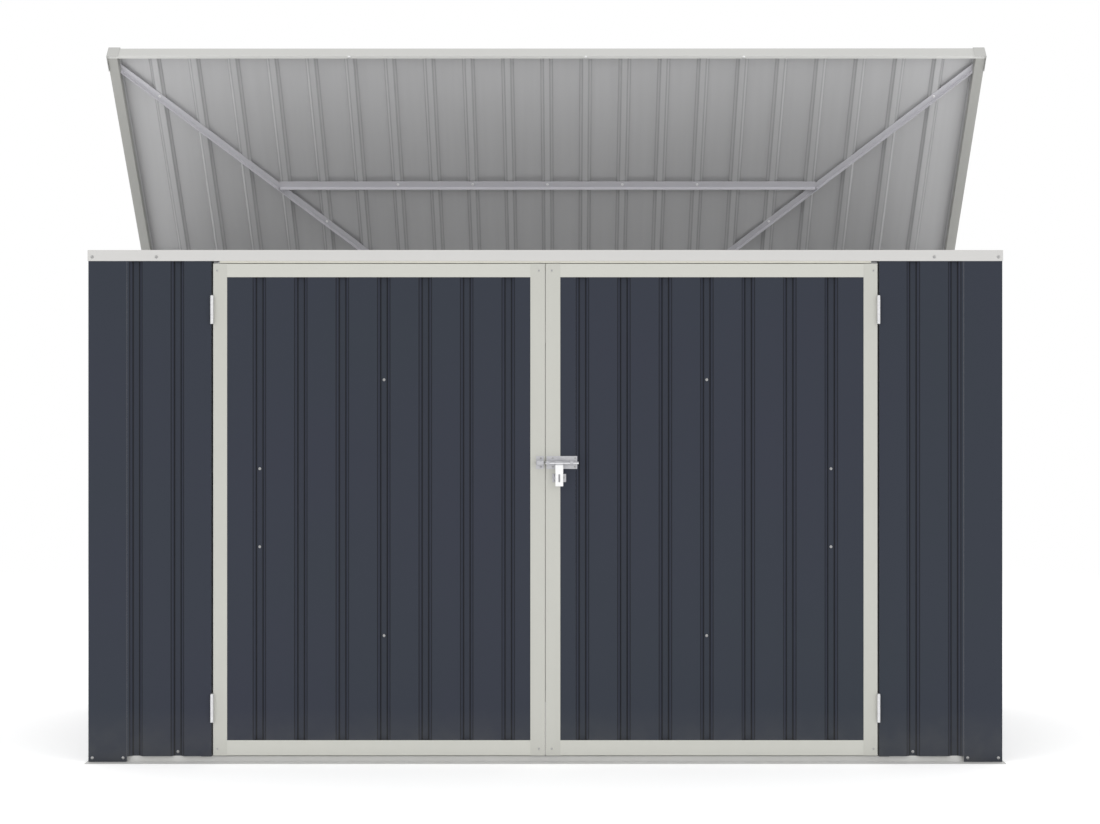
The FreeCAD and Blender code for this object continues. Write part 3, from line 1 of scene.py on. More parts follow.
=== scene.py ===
# %% [markdown]
# # A wheelie bin store in sheet steel
# The real store is a box of ribbed, painted steel with two doors and a lid that gas struts hold open.
# Its shape is already packed from the CAD, so this lesson loads it as a fixed frame, gives every piece
# a finish made of shader nodes, and adds what the eye looks for: rounded bends, real screw heads and a
# camera that stands where the photographer stood.

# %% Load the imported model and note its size
import json
import math

import bmesh
import bpy
from mathutils import Matrix, Vector

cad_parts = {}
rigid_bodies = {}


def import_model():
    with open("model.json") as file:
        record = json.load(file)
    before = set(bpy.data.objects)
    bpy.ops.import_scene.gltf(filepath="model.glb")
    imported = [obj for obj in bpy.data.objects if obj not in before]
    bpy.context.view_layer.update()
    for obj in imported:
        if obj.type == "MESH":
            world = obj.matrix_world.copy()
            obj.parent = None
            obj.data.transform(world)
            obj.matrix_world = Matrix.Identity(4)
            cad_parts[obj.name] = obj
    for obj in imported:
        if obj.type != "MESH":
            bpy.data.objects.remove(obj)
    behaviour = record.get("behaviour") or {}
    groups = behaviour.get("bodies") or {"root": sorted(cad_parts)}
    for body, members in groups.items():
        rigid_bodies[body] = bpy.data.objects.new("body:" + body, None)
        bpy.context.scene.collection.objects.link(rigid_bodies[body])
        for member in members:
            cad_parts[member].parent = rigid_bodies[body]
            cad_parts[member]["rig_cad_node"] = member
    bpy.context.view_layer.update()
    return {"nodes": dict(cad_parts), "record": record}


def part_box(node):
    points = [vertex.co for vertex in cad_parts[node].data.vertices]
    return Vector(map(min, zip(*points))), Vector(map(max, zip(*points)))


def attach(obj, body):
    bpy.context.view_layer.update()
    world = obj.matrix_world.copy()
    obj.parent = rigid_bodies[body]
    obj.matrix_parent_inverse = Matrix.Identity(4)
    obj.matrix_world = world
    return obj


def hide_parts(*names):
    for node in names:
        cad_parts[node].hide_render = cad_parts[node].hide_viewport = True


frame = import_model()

cad_nodes = frame["nodes"]
print("CAD nodes:", len(cad_nodes))

# %% [markdown]
# ## The camera
# The lid's ribs all run to one vanishing point, and the rails give the scale, which together say how
# high and how far away the camera stood. It looks level, straight at the doors. A small shift moves
# the picture's frame without tilting the view, as the bellows of a view camera would, so uprights stay
# upright.

# %% Camera
PHOTO_WIDTH, PHOTO_HEIGHT = 1100, 824
AXIS_PIXEL = (567.5, 353.0)
EYE = (0.057, -6.033, 1.053)
LEVEL_VIEW = (math.radians(90), 0, 0)
SENSOR_WIDTH, FOCAL_LENGTH = 36, 70.6
bpy.ops.object.camera_add(location=EYE, rotation=LEVEL_VIEW)
camera = bpy.context.object
camera.data.sensor_width = SENSOR_WIDTH
camera.data.lens = FOCAL_LENGTH
camera.data.shift_x = (PHOTO_WIDTH / 2 - AXIS_PIXEL[0]) / PHOTO_WIDTH
camera.data.shift_y = (AXIS_PIXEL[1] - PHOTO_HEIGHT / 2) / PHOTO_WIDTH
bpy.context.scene.camera = camera
bpy.context.scene.view_settings.view_transform = "Standard"
print("lens", FOCAL_LENGTH, "shift", round(camera.data.shift_x, 4), round(camera.data.shift_y, 4))

# %% [markdown]
# ## Folded steel
# Nothing on this store is machined: every rail, stile and sheet is a strip that a press folded. A folded
# edge is round outside, at about one and a half times the thickness, and tighter inside, and that
# roundness is what draws the light lines along a real frame. The CAD pieces have sharp folds, which is
# right for measuring and looks like cardboard when rendered. Each could be redrawn by hand, but a copy
# of the CAD piece already has the right size and holes, so only its folds are rounded. A Bevel modifier
# with an angle limit can't tell a fold from a cut edge, so the edges are chosen in code: a fold has
# a wide face on both sides, and a cut edge has the bare thickness on one.

# %% Copies that can be shaped
bodies = frame["record"]["behaviour"]["bodies"]
body_of_node = {node: body for body, nodes in bodies.items() for node in nodes}
MERGE = 0.00002
SAME_PLANE = math.radians(0.5)


def pick(piece):
    """Select one object only and make it the active one."""
    bpy.ops.object.select_all(action="DESELECT")
    piece.select_set(True)
    bpy.context.view_layer.objects.active = piece


def editable_copy(node, name):
    """A copy of a CAD node, its loose triangles joined into whole faces, left in edit mode."""
    pick(cad_nodes[node])
    bpy.ops.object.duplicate()
    piece = bpy.context.object
    piece.name = name
    del piece["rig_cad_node"]
    bpy.ops.mesh.customdata_custom_splitnormals_clear()
    bpy.ops.object.mode_set(mode="EDIT")
    bpy.ops.mesh.select_mode(type="EDGE")
    bpy.ops.mesh.select_all(action="SELECT")
    bpy.ops.mesh.remove_doubles(threshold=MERGE)
    bpy.ops.mesh.dissolve_limited(angle_limit=SAME_PLANE)
    return piece


def stand_for(piece, node):
    """The piece stays in the CAD node's place and moves with its body; the node is hidden."""
    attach(piece, body_of_node[node])
    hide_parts(node)


# %% Tell a fold from a cut edge
WIDE_FACE, HOLE_EDGE = 0.003, 0.003
FOLD_ANGLE = math.radians(25)
CUT_ANGLE = math.radians(55)
SHADE_ANGLE = math.radians(40)


def is_wide(face):
    """Twice the area over the perimeter is the width of a long face, also of a sheet's winding end."""
    return 2 * face.calc_area() > WIDE_FACE * face.calc_perimeter()


def is_fold(edge, outer):
    """A bent edge with a wide face on both sides: an outer fold turns out and an inner one in."""
    turn = edge.calc_face_angle_signed(0.0)
    wide = all(is_wide(face) for face in edge.link_faces)
    return wide and (turn > FOLD_ANGLE if outer else turn < -FOLD_ANGLE)


def is_cut(edge, outer=True):
    """A sheared edge, longer than those round a screw hole."""
    return edge.calc_face_angle_signed(0.0) > CUT_ANGLE and edge.calc_length() > HOLE_EDGE


def round_edges(piece, test, outer, width, steps):
    """Bevel the edges that pass the test, in edit mode, and return how many they were."""
    bpy.ops.mesh.select_all(action="DESELECT")
    mesh = bmesh.from_edit_mesh(piece.data)
    found = [edge for edge in mesh.edges if len(edge.link_faces) == 2 and test(edge, outer)]
    for edge in found:
        edge.select_set(True)
    bmesh.update_edit_mesh(piece.data)
    if found:
        bpy.ops.mesh.bevel(offset=width, segments=steps, affect="EDGES", clamp_overlap=True)
    return len(found)


def formed(node, outer_radius, inner_radius, edge_radius=0.0, steps=3):
    """A CAD node's stand-in with round folds, and cut edges broken by edge_radius."""
    piece = editable_copy(node, f"{node}_formed")
    folds = round_edges(piece, is_fold, True, outer_radius, steps)
    folds += round_edges(piece, is_fold, False, inner_radius, max(1, steps - 1))
    cuts = round_edges(piece, is_cut, True, edge_radius, 1) if edge_radius else 0
    bpy.ops.object.mode_set(mode="OBJECT")
    bpy.ops.object.shade_smooth_by_angle(angle=SHADE_ANGLE)
    flatten = piece.modifiers.new("keep_flats_flat", "WEIGHTED_NORMAL")
    flatten.keep_sharp = True
    bpy.ops.object.modifier_apply(modifier=flatten.name)
    stand_for(piece, node)
    print(piece.name, "folds", folds, "cut edges", cuts, "faces", len(piece.data.polygons))
    return piece


# %% Fold the frames, the rails and the covers
STRIP_RADII = (0.0018, 0.0006, 0.0002)
STRIP_NODES = ["front_top_rail", "rear_top_rail", "side_top_rails", "rear_mid_rail", "door_header",
               "door_post_left", "door_post_right", "front_sill", "floor_rails_side",
               "rear_floor_rail", "lid_front_rail", "lid_side_rail_left", "lid_side_rail_right",
               "lid_rear_rail", "lid_corner_caps", "lid_diagonal_braces", "lid_cross_brace",
               "corner_cover_left", "corner_cover_right", "rear_corner_posts"]
DOOR_STRIPS = ("hinge_stile", "meeting_stile", "rails", "braces")
for side in ("left", "right"):
    STRIP_NODES += [f"door_{side}_{part}" for part in DOOR_STRIPS]
formed_pieces = {node: formed(node, *STRIP_RADII) for node in STRIP_NODES}

# %% Roll the ribs of the sheets
SHEET_RADII = (0.0016, 0.0016)
SHEET_NODES = ["front_panel_left", "front_panel_right", "door_left_sheet", "door_right_sheet",
               "side_panel_left", "side_panel_right", "rear_panels",
               "lid_sheet_1", "lid_sheet_2", "lid_sheet_3", "lid_sheet_4"]
formed_pieces.update({node: formed(node, *SHEET_RADII, steps=2) for node in SHEET_NODES})

# %% Break the edges of the small fittings
FITTING_RADII = (0.0006, 0.0003, 0.0003)
FITTING_NODES = ["latch_staple", "latch_flap", "strut_wall_brackets", "strut_lid_brackets"]
formed_pieces.update({node: formed(node, *FITTING_RADII) for node in FITTING_NODES})

# %% [markdown]
# The bolt runs through the keeper and the bolt plate, which are thin steel bent over it. A radius of
# half their thickness would make opposite bevels meet and close the bore, so theirs are smaller.

# %% Break the edges of the keeper and the bolt plate
STRAP_RADII = (0.0003, 0.0001, 0.0002)
for node in ("latch_keeper", "latch_plate"):
    formed_pieces[node] = formed(node, *STRAP_RADII, steps=2)

# %% [markdown]
# ## Screws and rivets
# About a hundred fasteners hold the sheets. The CAD has plain domes, so each is replaced by a fastener
# with a face: a pan-head screw with a cross recess and a drill tip, or a blind rivet with the hole that
# its pin leaves. One of each kind is modelled, and copied to every seat. The seats could be typed in
# again from the drawing. Here they are read from the CAD pieces, so they can't drift: on each fastener,
# the direction that the most flat area faces is the way its shank points.

# %% Read where the fasteners sit
SAME_WAY = 0.999


def flat_area(faces, way):
    """The area of all faces that look the given way."""
    return sum(face.area for face in faces if face.normal.dot(way) > SAME_WAY)


def seats_of(node):
    """Seat, way of the shank and head radius of each fastener in a CAD node."""
    editable_copy(node, "fastener_probe")
    bpy.ops.mesh.separate(type="LOOSE")
    bpy.ops.object.mode_set(mode="OBJECT")
    bits = list(bpy.context.selected_objects)
    seats = []
    for bit in bits:
        faces, points = bit.data.polygons, [vertex.co for vertex in bit.data.vertices]
        way = max((face.normal.copy() for face in faces), key=lambda normal: flat_area(faces, normal))
        tip = max(point.dot(way) for point in points)
        end = [point for point in points if tip - point.dot(way) < MERGE]
        middle = sum(end, Vector()) / len(end)
        under = min(face.center.dot(way) for face in faces if face.normal.dot(way) > SAME_WAY)
        seat = middle - way * (tip - under)
        radius = max(((point - seat) - way * (point - seat).dot(way)).length for point in points)
        seats.append((seat, way, radius))
        bpy.data.objects.remove(bit)
    return seats


# %% Model one screw and one rivet
ROUND_SIDES = 16


def start_disc(name, radius, height):
    """A short cylinder whose underside lies at the seat, in edit mode, its top towards -Z."""
    bpy.ops.object.select_all(action="DESELECT")
    bpy.ops.mesh.primitive_cylinder_add(vertices=ROUND_SIDES, radius=radius, depth=height,
                                        location=(0, 0, -height / 2))
    piece = bpy.context.object
    piece.name = name
    bpy.ops.object.transform_apply(location=True)
    bpy.ops.object.mode_set(mode="EDIT")
    bpy.ops.mesh.select_mode(type="FACE")
    return piece


def select_cap(piece, way):
    """Select the end face that looks along +Z or -Z."""
    bpy.ops.mesh.select_all(action="DESELECT")
    mesh = bmesh.from_edit_mesh(piece.data)
    cap = max(mesh.faces, key=lambda face: (round(face.normal.z * way, 3), face.calc_area()))
    cap.select_set(True)
    bmesh.update_edit_mesh(piece.data)


def narrow(inset, travel):
    """Inset the selected face and move it along the axis."""
    bpy.ops.mesh.inset(thickness=inset)
    bpy.ops.transform.translate(value=(0, 0, travel))


def draw_out(travel, taper):
    """Extrude the selected face along the axis and scale it."""
    bpy.ops.mesh.extrude_region_move(TRANSFORM_OT_translate={"value": (0, 0, travel)})
    bpy.ops.transform.resize(value=(taper, taper, 1))


def pinch_to_cross(piece, share):
    """Draw half of the selected face's corners in, which leaves a cross."""
    mesh = bmesh.from_edit_mesh(piece.data)
    cap = next(face for face in mesh.faces if face.select)
    for corner in cap.verts:
        step = round(math.atan2(corner.co.y, corner.co.x) / (2 * math.pi / ROUND_SIDES))
        if step % 4 > 1:
            corner.co.x *= share
            corner.co.y *= share
    bmesh.update_edit_mesh(piece.data)


# each dome step is an inset and a rise, each shank step a length and a taper
SCREW_HEAD, SCREW_RIM, SCREW_NECK = 0.004, 0.0005, 0.002
SCREW_DOME = ((0.0003, -0.0005), (0.0008, -0.0006), (0.0009, -0.0003), (0.0003, -0.0001))
SCREW_SHANK = ((0.0095, 1.0), (0.0025, 0.15))
CROSS_SHARE, CROSS_DEPTH, CROSS_TAPER = 0.35, 0.0012, 0.6
screw = start_disc("pan_head_screw", SCREW_HEAD, SCREW_RIM)
select_cap(screw, -1)
for inset, travel in SCREW_DOME:
    narrow(inset, travel)
pinch_to_cross(screw, CROSS_SHARE)
draw_out(CROSS_DEPTH, CROSS_TAPER)
select_cap(screw, 1)
narrow(SCREW_NECK, 0.0)
for travel, taper in SCREW_SHANK:
    draw_out(travel, taper)
bpy.ops.object.mode_set(mode="OBJECT")

RIVET_HEAD, RIVET_RIM, RIVET_NECK = 0.0026, 0.0002, 0.001
RIVET_DOME = ((0.0005, -0.0005), (0.0007, -0.0003), (0.0004, 0.0))
RIVET_SHANK = ((0.0025, 1.0), (0.001, 1.15), (0.0005, 0.6))
PIN_HOLE = (0.0007, 0.9)
rivet = start_disc("blind_rivet", RIVET_HEAD, RIVET_RIM)
select_cap(rivet, -1)
for inset, travel in RIVET_DOME:
    narrow(inset, travel)
draw_out(*PIN_HOLE)
select_cap(rivet, 1)
narrow(RIVET_NECK, 0.0)
for travel, taper in RIVET_SHANK:
    draw_out(travel, taper)
bpy.ops.object.mode_set(mode="OBJECT")
print("screw", len(screw.data.polygons), "rivet", len(rivet.data.polygons))

# %% Copy them to the seats
SCREW_OR_RIVET = 0.0033
TURN_STEP = 2.4
FASTENER_SHADE = math.radians(35)


def fit_fasteners(node):
    """One piece with a fastener at every seat of a CAD node, each turned as its driver left it."""
    copies = []
    for number, (seat, way, radius) in enumerate(seats_of(node)):
        pick(screw if radius > SCREW_OR_RIVET else rivet)
        bpy.ops.object.duplicate()
        copy = bpy.context.object
        spin = Matrix.Rotation(number * TURN_STEP, 4, "Z")
        lean = Vector((0, 0, 1)).rotation_difference(way).to_matrix().to_4x4()
        copy.matrix_world = Matrix.Translation(seat) @ lean @ spin
        copies.append(copy)
    bpy.ops.object.select_all(action="DESELECT")
    for copy in copies:
        copy.select_set(True)
    bpy.context.view_layer.objects.active = copies[0]
    bpy.ops.object.join()
    piece = bpy.context.object
    piece.name = f"{node}_detailed"
    bpy.ops.object.transform_apply(location=True, rotation=True, scale=True)
    bpy.ops.object.shade_smooth_by_angle(angle=FASTENER_SHADE)
    stand_for(piece, node)
    print(piece.name, "fasteners", len(copies), "faces", len(piece.data.polygons))
    return piece


for node in ("body_screws", "lid_screws", "door_left_fixings", "door_right_fixings"):
    formed_pieces[node] = fit_fasteners(node)
for master in (screw, rivet):
    bpy.data.objects.remove(master)

# %% [markdown]
# ## Shader sums
# A finish is mostly arithmetic on where a point lies: how far it is from a rib, how near the ground.
# Wrapping a socket in a small class lets that be written as plain sums, and each sum adds its node.


# %% A socket that does sums
class Field:
    """A number that varies over the surface, held as a shader socket."""

    def __init__(self, finish, socket):
        self.finish = finish
        self.socket = socket

    def math(self, operation, *others):
        return self.finish.add("ShaderNodeMath", {"operation": operation}, [self, *others])

    def __add__(self, other):
        return self.math("ADD", other)

    def __sub__(self, other):
        return self.math("SUBTRACT", other)

    def __rsub__(self, other):
        return self.finish.add("ShaderNodeMath", {"operation": "SUBTRACT"}, [other, self])

    def __mul__(self, other):
        return self.math("MULTIPLY", other)

    def __truediv__(self, other):
        return self.math("DIVIDE", other)

    def __abs__(self):
        return self.math("ABSOLUTE")

    __radd__ = __add__

    def clamped(self):
        """Held between 0 and 1."""
        return self.math("MINIMUM", 1.0).math("MAXIMUM", 0.0)


# %% A finish: one material and the method that adds its nodes
# how steeply a mask rises from 0 to 1: within a millimetre, or within a hair of a right angle
MASK_SLOPE = 1000


class Finish:
    """A material under construction."""

    def __init__(self, name):
        self.material = bpy.data.materials.new(name)
        self.material.use_nodes = True
        self.nodes = self.material.node_tree.nodes
        self.links = self.material.node_tree.links
        self.shader = self.nodes["Principled BSDF"]

    def add(self, kind, settings, values, output=0):
        """Add a node: its settings first, then its sockets, and return one of its outputs."""
        node = self.nodes.new(kind)
        for key, setting in settings.items():
            setattr(node, key, setting)
        pairs = values.items() if isinstance(values, dict) else enumerate(values)
        for key, value in pairs:
            self.plug(node.inputs[key], value)
        return Field(self, node.outputs[output])

    def plug(self, socket, value):
        """Link a field to the socket, or set the socket to a plain value."""
        if isinstance(value, Field):
            self.links.new(value.socket, socket)
        else:
            socket.default_value = value

    def place(self):
        """The point's place in the frame, in metres."""
        return self.add("ShaderNodeTexCoord", {}, [], "Object")

    def axis(self, where, letter):
        """The X, Y or Z of a place."""
        return self.add("ShaderNodeSeparateXYZ", {}, [where], letter)

    def noise(self, where, scale, detail=3.0, stretch=(1, 1, 1)):
        """A soft pattern from 0 to 1, with about scale cells to the metre before stretch."""
        moved = self.add("ShaderNodeMapping", {}, {"Vector": where, "Scale": stretch})
        pattern = {"Vector": moved, "Scale": scale, "Detail": detail}
        return self.add("ShaderNodeTexNoise", {}, pattern, "Fac")

    def blend(self, share, first, second):
        """One colour at share 0 and another at share 1."""
        return self.add("ShaderNodeMix", {"data_type": "RGBA"}, {0: share, 6: first, 7: second}, 2)

    def facing_share(self, outward):
        """1 on what faces outward and 0 on what faces away from it."""
        facing = self.add("ShaderNodeTexCoord", {}, [], "Normal")
        dot = {"operation": "DOT_PRODUCT"}
        return (self.add("ShaderNodeVectorMath", dot, [facing, outward], "Value") * MASK_SLOPE).clamped()

    def bump(self, height, strength, depth):
        """A fine relief that only tilts the light."""
        relief = {"Height": height, "Strength": strength, "Distance": depth}
        return self.add("ShaderNodeBump", {}, relief, "Normal")

    def wear(self, **sockets):
        """Fill the shader's sockets by name and return the finished material."""
        for name, value in sockets.items():
            self.plug(self.shader.inputs[name.replace("_", " ")], value)
        return self.material


def tint(red, green, blue):
    """A screen colour, 0 to 255, as the light it stands for."""
    def linear(level):
        level /= 255
        return level / 12.92 if level <= 0.04045 else ((level + 0.055) / 1.055) ** 2.4
    return (linear(red), linear(green), linear(blue), 1.0)


# %% [markdown]
# ## Painted sheet
# The ribbed sheets are coil-coated: an anthracite film outside and a grey backing inside. Seen close,
# the film has a faint orange peel, a slow drift in tone, and dust low down. Each bend of a rib gets a
# painted dark line, which is painted shade, and the flanks of each rib are painted a little lighter,
# which is painted light. Those lines could be painted by hand in a texture. Here they come from the
# distance to the nearest rib, which stays sharp at any zoom and needs no image.

# %% Where a point lies on a rib
RIB_PITCH = 0.1067
RIB_FLOOR, RIB_TOP = 0.0085, 0.016
INNER_LINE, OUTER_LINE = 0.0029, 0.0021
OUTER_SHARE = 0.85


def rib_zones(along, first_rib):
    """Two masks of the nearest rib: its four bends, where shade is painted, and its two flanks, where
    light is painted.
    """
    turns = (along - first_rib) / RIB_PITCH + 0.5
    nearest = abs(turns - turns.math("FLOOR") - 0.5) * RIB_PITCH
    inner = 1 - abs(nearest - RIB_FLOOR) / INNER_LINE
    outer = 1 - abs(nearest - RIB_TOP) / OUTER_LINE
    bends = inner.clamped() + outer.clamped() * OUTER_SHARE
    past_floor = ((nearest - RIB_FLOOR) * MASK_SLOPE).clamped()
    before_top = ((RIB_TOP - nearest) * MASK_SLOPE).clamped()
    return bends, past_floor * before_top


# %% Painted sheet
FILM_BLUE, FILM_GREEN = tint(49, 51, 65), tint(47, 54, 61)
# the bend tone is painted shade, a dark line on every bend of a rib; the flank tone is painted light
# that evens out the flanks' shade
FILM_BEND_PAINTED_SHADE, FILM_FLANK_PAINTED_LIGHT = tint(6, 7, 10), tint(54, 58, 70)
BACKING_LIGHT, BACKING_DARK = tint(182, 182, 184), tint(172, 172, 172)
# painted shade on the bends of the grey backing
BACKING_BEND_PAINTED_SHADE, BACKING_BEND_PAINTED_SHADE_SHARE = tint(90, 90, 92), 0.25
GROUND_DUST, DUST_TOP, DUST_SHARE = tint(120, 118, 110), 0.14, 0.25
FILM_DRIFT, GLOSS_DRIFT, DUST_GRAIN, PEEL_GRAIN = 1.7, 3.0, 24.0, 420.0
FILM_ROUGHNESS, GLOSS_CHANGE, DUST_ROUGHNESS = 0.46, 0.12, 0.5
FILM_SHEEN = 0.2
PEEL_STRENGTH, PEEL_DEPTH = 0.12, 0.0004


def film_and_backing(finish, where, bends, flanks, outside):
    """The outer film where outside is 1 and the grey backing where it is 0."""
    drift = finish.noise(where, FILM_DRIFT)
    film = finish.blend(drift, FILM_BLUE, FILM_GREEN)
    # painted light: the flanks of the ribs a little lighter
    film = finish.blend(flanks, film, FILM_FLANK_PAINTED_LIGHT)
    # painted shade: a dark line on every bend
    film = finish.blend(bends, film, FILM_BEND_PAINTED_SHADE)
    backing = finish.blend(drift, BACKING_DARK, BACKING_LIGHT)
    backing = finish.blend(bends * BACKING_BEND_PAINTED_SHADE_SHARE, backing, BACKING_BEND_PAINTED_SHADE)
    return finish.blend(outside, backing, film)


def painted_sheet(name, outward=None, rib_axis=None, first_rib=0.0, mirrored=False):
    """Coil-coated sheet; outward is the way its film faces, by default away from the middle."""
    finish = Finish(name)
    where = finish.place()
    bends, flanks = 0.0, 0.0
    if rib_axis:
        along = finish.axis(where, rib_axis)
        bends, flanks = rib_zones(abs(along) if mirrored else along, first_rib)
    outside = finish.facing_share(outward or where)
    coating = film_and_backing(finish, where, bends, flanks, outside)
    low = (1 - finish.axis(where, "Z") / DUST_TOP).clamped()
    dust = low * finish.noise(where, DUST_GRAIN) * DUST_SHARE
    gloss = finish.noise(where, GLOSS_DRIFT) * GLOSS_CHANGE
    peel = finish.noise(where, PEEL_GRAIN, 2.0)
    return finish.wear(
        Base_Color=finish.blend(dust, coating, GROUND_DUST),
        Roughness=FILM_ROUGHNESS + gloss + dust * DUST_ROUGHNESS,
        Specular_IOR_Level=FILM_SHEEN,
        Normal=finish.bump(peel, PEEL_STRENGTH, PEEL_DEPTH),
    )


# %% [markdown]
# ## Painted frames
# Rails, stiles and posts are folded from thicker strip and powder-coated in a warm off-white. One
# recipe makes them all, with its own tone for each member. Fine grain, rub marks along the strip and
# a little grime near the ground keep it from looking like plastic.

# %% Painted frames
COAT_DRIFT, COAT_STREAKS, COAT_GRIME, COAT_GRAIN = 2.3, 30.0, 35.0, 900.0
UPRIGHT_STREAKS = (1, 1, 0.12)
DRIFT_SHARE, STREAK_SHARE = 0.7, 0.3
GRIME, GRIME_TOP = tint(135, 130, 120), 0.10
STREAK_ROUGHNESS, GRIME_ROUGHNESS = 0.1, 0.4
GRAIN_STRENGTH, GRAIN_DEPTH = 0.1, 0.0003
UPWARD = (0.0, 0.0, 1.0)


def powder_coat(name, light, dark, roughness=0.42, grime=0.3, metallic=0.0, below=None):
    """Powder coat that drifts from light to dark; below is a tone painted on what faces the ground,
    painted light that lifts its shade.
    """
    finish = Finish(name)
    where = finish.place()
    drift = finish.noise(where, COAT_DRIFT)
    streaks = finish.noise(where, COAT_STREAKS, 4.0, UPRIGHT_STREAKS)
    tone = finish.blend(drift * DRIFT_SHARE + streaks * STREAK_SHARE, light, dark)
    # painted light: what faces the ground takes the tone given as below
    if below:
        tone = finish.blend(finish.facing_share(UPWARD), below, tone)
    low = (1 - finish.axis(where, "Z") / GRIME_TOP).clamped()
    dirt = low * finish.noise(where, COAT_GRIME) * grime
    grain = finish.noise(where, COAT_GRAIN, 2.0)
    return finish.wear(
        Base_Color=finish.blend(dirt, tone, GRIME),
        Roughness=roughness + streaks * STREAK_ROUGHNESS + dirt * GRIME_ROUGHNESS,
        Metallic=metallic,
        Normal=finish.bump(grain, GRAIN_STRENGTH, GRAIN_DEPTH),
    )


# %% [markdown]
# ## Bare metal
# Hinges, the pad bolt, the studs and the screws are zinc plated. Zinc is a metal that is never quite
# mirror bright: its crystals reflect a little differently from each other, and handling leaves fine
# scratches. Voronoi cells give the crystals and a stretched noise the scratches.

# %% Bare metal
SCRATCHES, SCRATCH_DETAIL = 160.0, 5.0
SCRATCHED_ALONG_X, SCRATCHED_ACROSS_X = (0.2, 1, 1), (1, 0.2, 0.2)
CRYSTAL_SHARE, SCRATCH_SHARE = 0.6, 0.4
ZINC_METAL, CRYSTAL_ROUGHNESS, SCRATCH_ROUGHNESS = 0.85, 0.08, 0.12
SCRATCH_STRENGTH, SCRATCH_DEPTH = 0.06, 0.0003


def plated(name, light, dark, roughness, cell):
    """Plated steel with crystals of the size of a cell, in metres, and fine scratches."""
    finish = Finish(name)
    where = finish.place()
    crystal = finish.add("ShaderNodeTexVoronoi", {}, {"Vector": where, "Scale": 1 / cell}, "Color")
    shade = finish.add("ShaderNodeSeparateColor", {}, [crystal], "Red")
    scratch = finish.noise(where, SCRATCHES, SCRATCH_DETAIL, SCRATCHED_ACROSS_X)
    return finish.wear(
        Base_Color=finish.blend(shade * CRYSTAL_SHARE + scratch * SCRATCH_SHARE, light, dark),
        Metallic=ZINC_METAL,
        Roughness=roughness + shade * CRYSTAL_ROUGHNESS + scratch * SCRATCH_ROUGHNESS,
        Normal=finish.bump(scratch, SCRATCH_STRENGTH, SCRATCH_DEPTH),
    )


# %% The bolt and the flap that hangs on it
BOLT_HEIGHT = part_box("latch_bolt")[0].z / 2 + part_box("latch_bolt")[1].z / 2
# painted highlight: a bright line along the bolt and across the flap's bare eye
PAINTED_HIGHLIGHT_LINE, PAINTED_HIGHLIGHT_DROP = 0.0017, 0.0016
PAINT_STARTS = 0.0052
DULL_ZINC, PAINTED_HIGHLIGHT_ZINC = tint(178, 178, 182), tint(252, 252, 253)
FLAP_WHITE, FLAP_WHITEST = tint(236, 236, 236), tint(242, 242, 242)
LATCH_METAL, LATCH_ROUGHNESS, LATCH_SCRATCHES = 0.4, 0.34, 0.1


def bolt_steel(finish, height):
    """Dull zinc with a painted highlight: a bright line along the bolt, a little under its middle."""
    painted_highlight = (1 - abs(height - (BOLT_HEIGHT - PAINTED_HIGHLIGHT_DROP)) / PAINTED_HIGHLIGHT_LINE).clamped()
    return finish.blend(painted_highlight, DULL_ZINC, PAINTED_HIGHLIGHT_ZINC)


def latch_finish(name, painted):
    """The bolt's steel; on a painted piece, white begins a little below the bolt's middle."""
    finish = Finish(name)
    where = finish.place()
    height = finish.axis(where, "Z")
    scratch = finish.noise(where, SCRATCHES, SCRATCH_DETAIL, SCRATCHED_ALONG_X)
    tone, metal = bolt_steel(finish, height), LATCH_METAL
    if painted:
        paint = ((BOLT_HEIGHT - PAINT_STARTS - height) * MASK_SLOPE).clamped()
        tone = finish.blend(paint, tone, finish.blend(scratch, FLAP_WHITE, FLAP_WHITEST))
        metal = (1 - paint) * LATCH_METAL
    return finish.wear(
        Base_Color=tone,
        Metallic=metal,
        Roughness=LATCH_ROUGHNESS + scratch * LATCH_SCRATCHES,
        Normal=finish.bump(scratch, SCRATCH_STRENGTH, SCRATCH_DEPTH),
    )


# %% The lid's sheets: grey and glossy underneath, anthracite on top
OPEN_TILT = math.radians(47)
LID_OUTWARD = (0.0, math.sin(OPEN_TILT), math.cos(OPEN_TILT))
UNDER_DARK, UNDER_LIGHT = tint(188, 188, 189), tint(203, 203, 204)
# painted shade: dark lines on the bends of the lid's ribs, on the underside and on top
UNDER_BEND_PAINTED_SHADE, UNDER_BEND_PAINTED_SHADE_SHARE = tint(110, 110, 112), 0.4
TOP_BEND_PAINTED_SHADE_SHARE = 0.6
LID_DRIFT, ROLL_MARKS, ROLLED_ACROSS_X = 2.0, 60.0, (1, 0.04, 0.04)
UNDER_METAL, LID_ROUGHNESS, LID_SHEEN, ROLL_ROUGHNESS = 0.3, 0.45, 0.3, 0.08
ROLL_STRENGTH, ROLL_DEPTH = 0.05, 0.0004


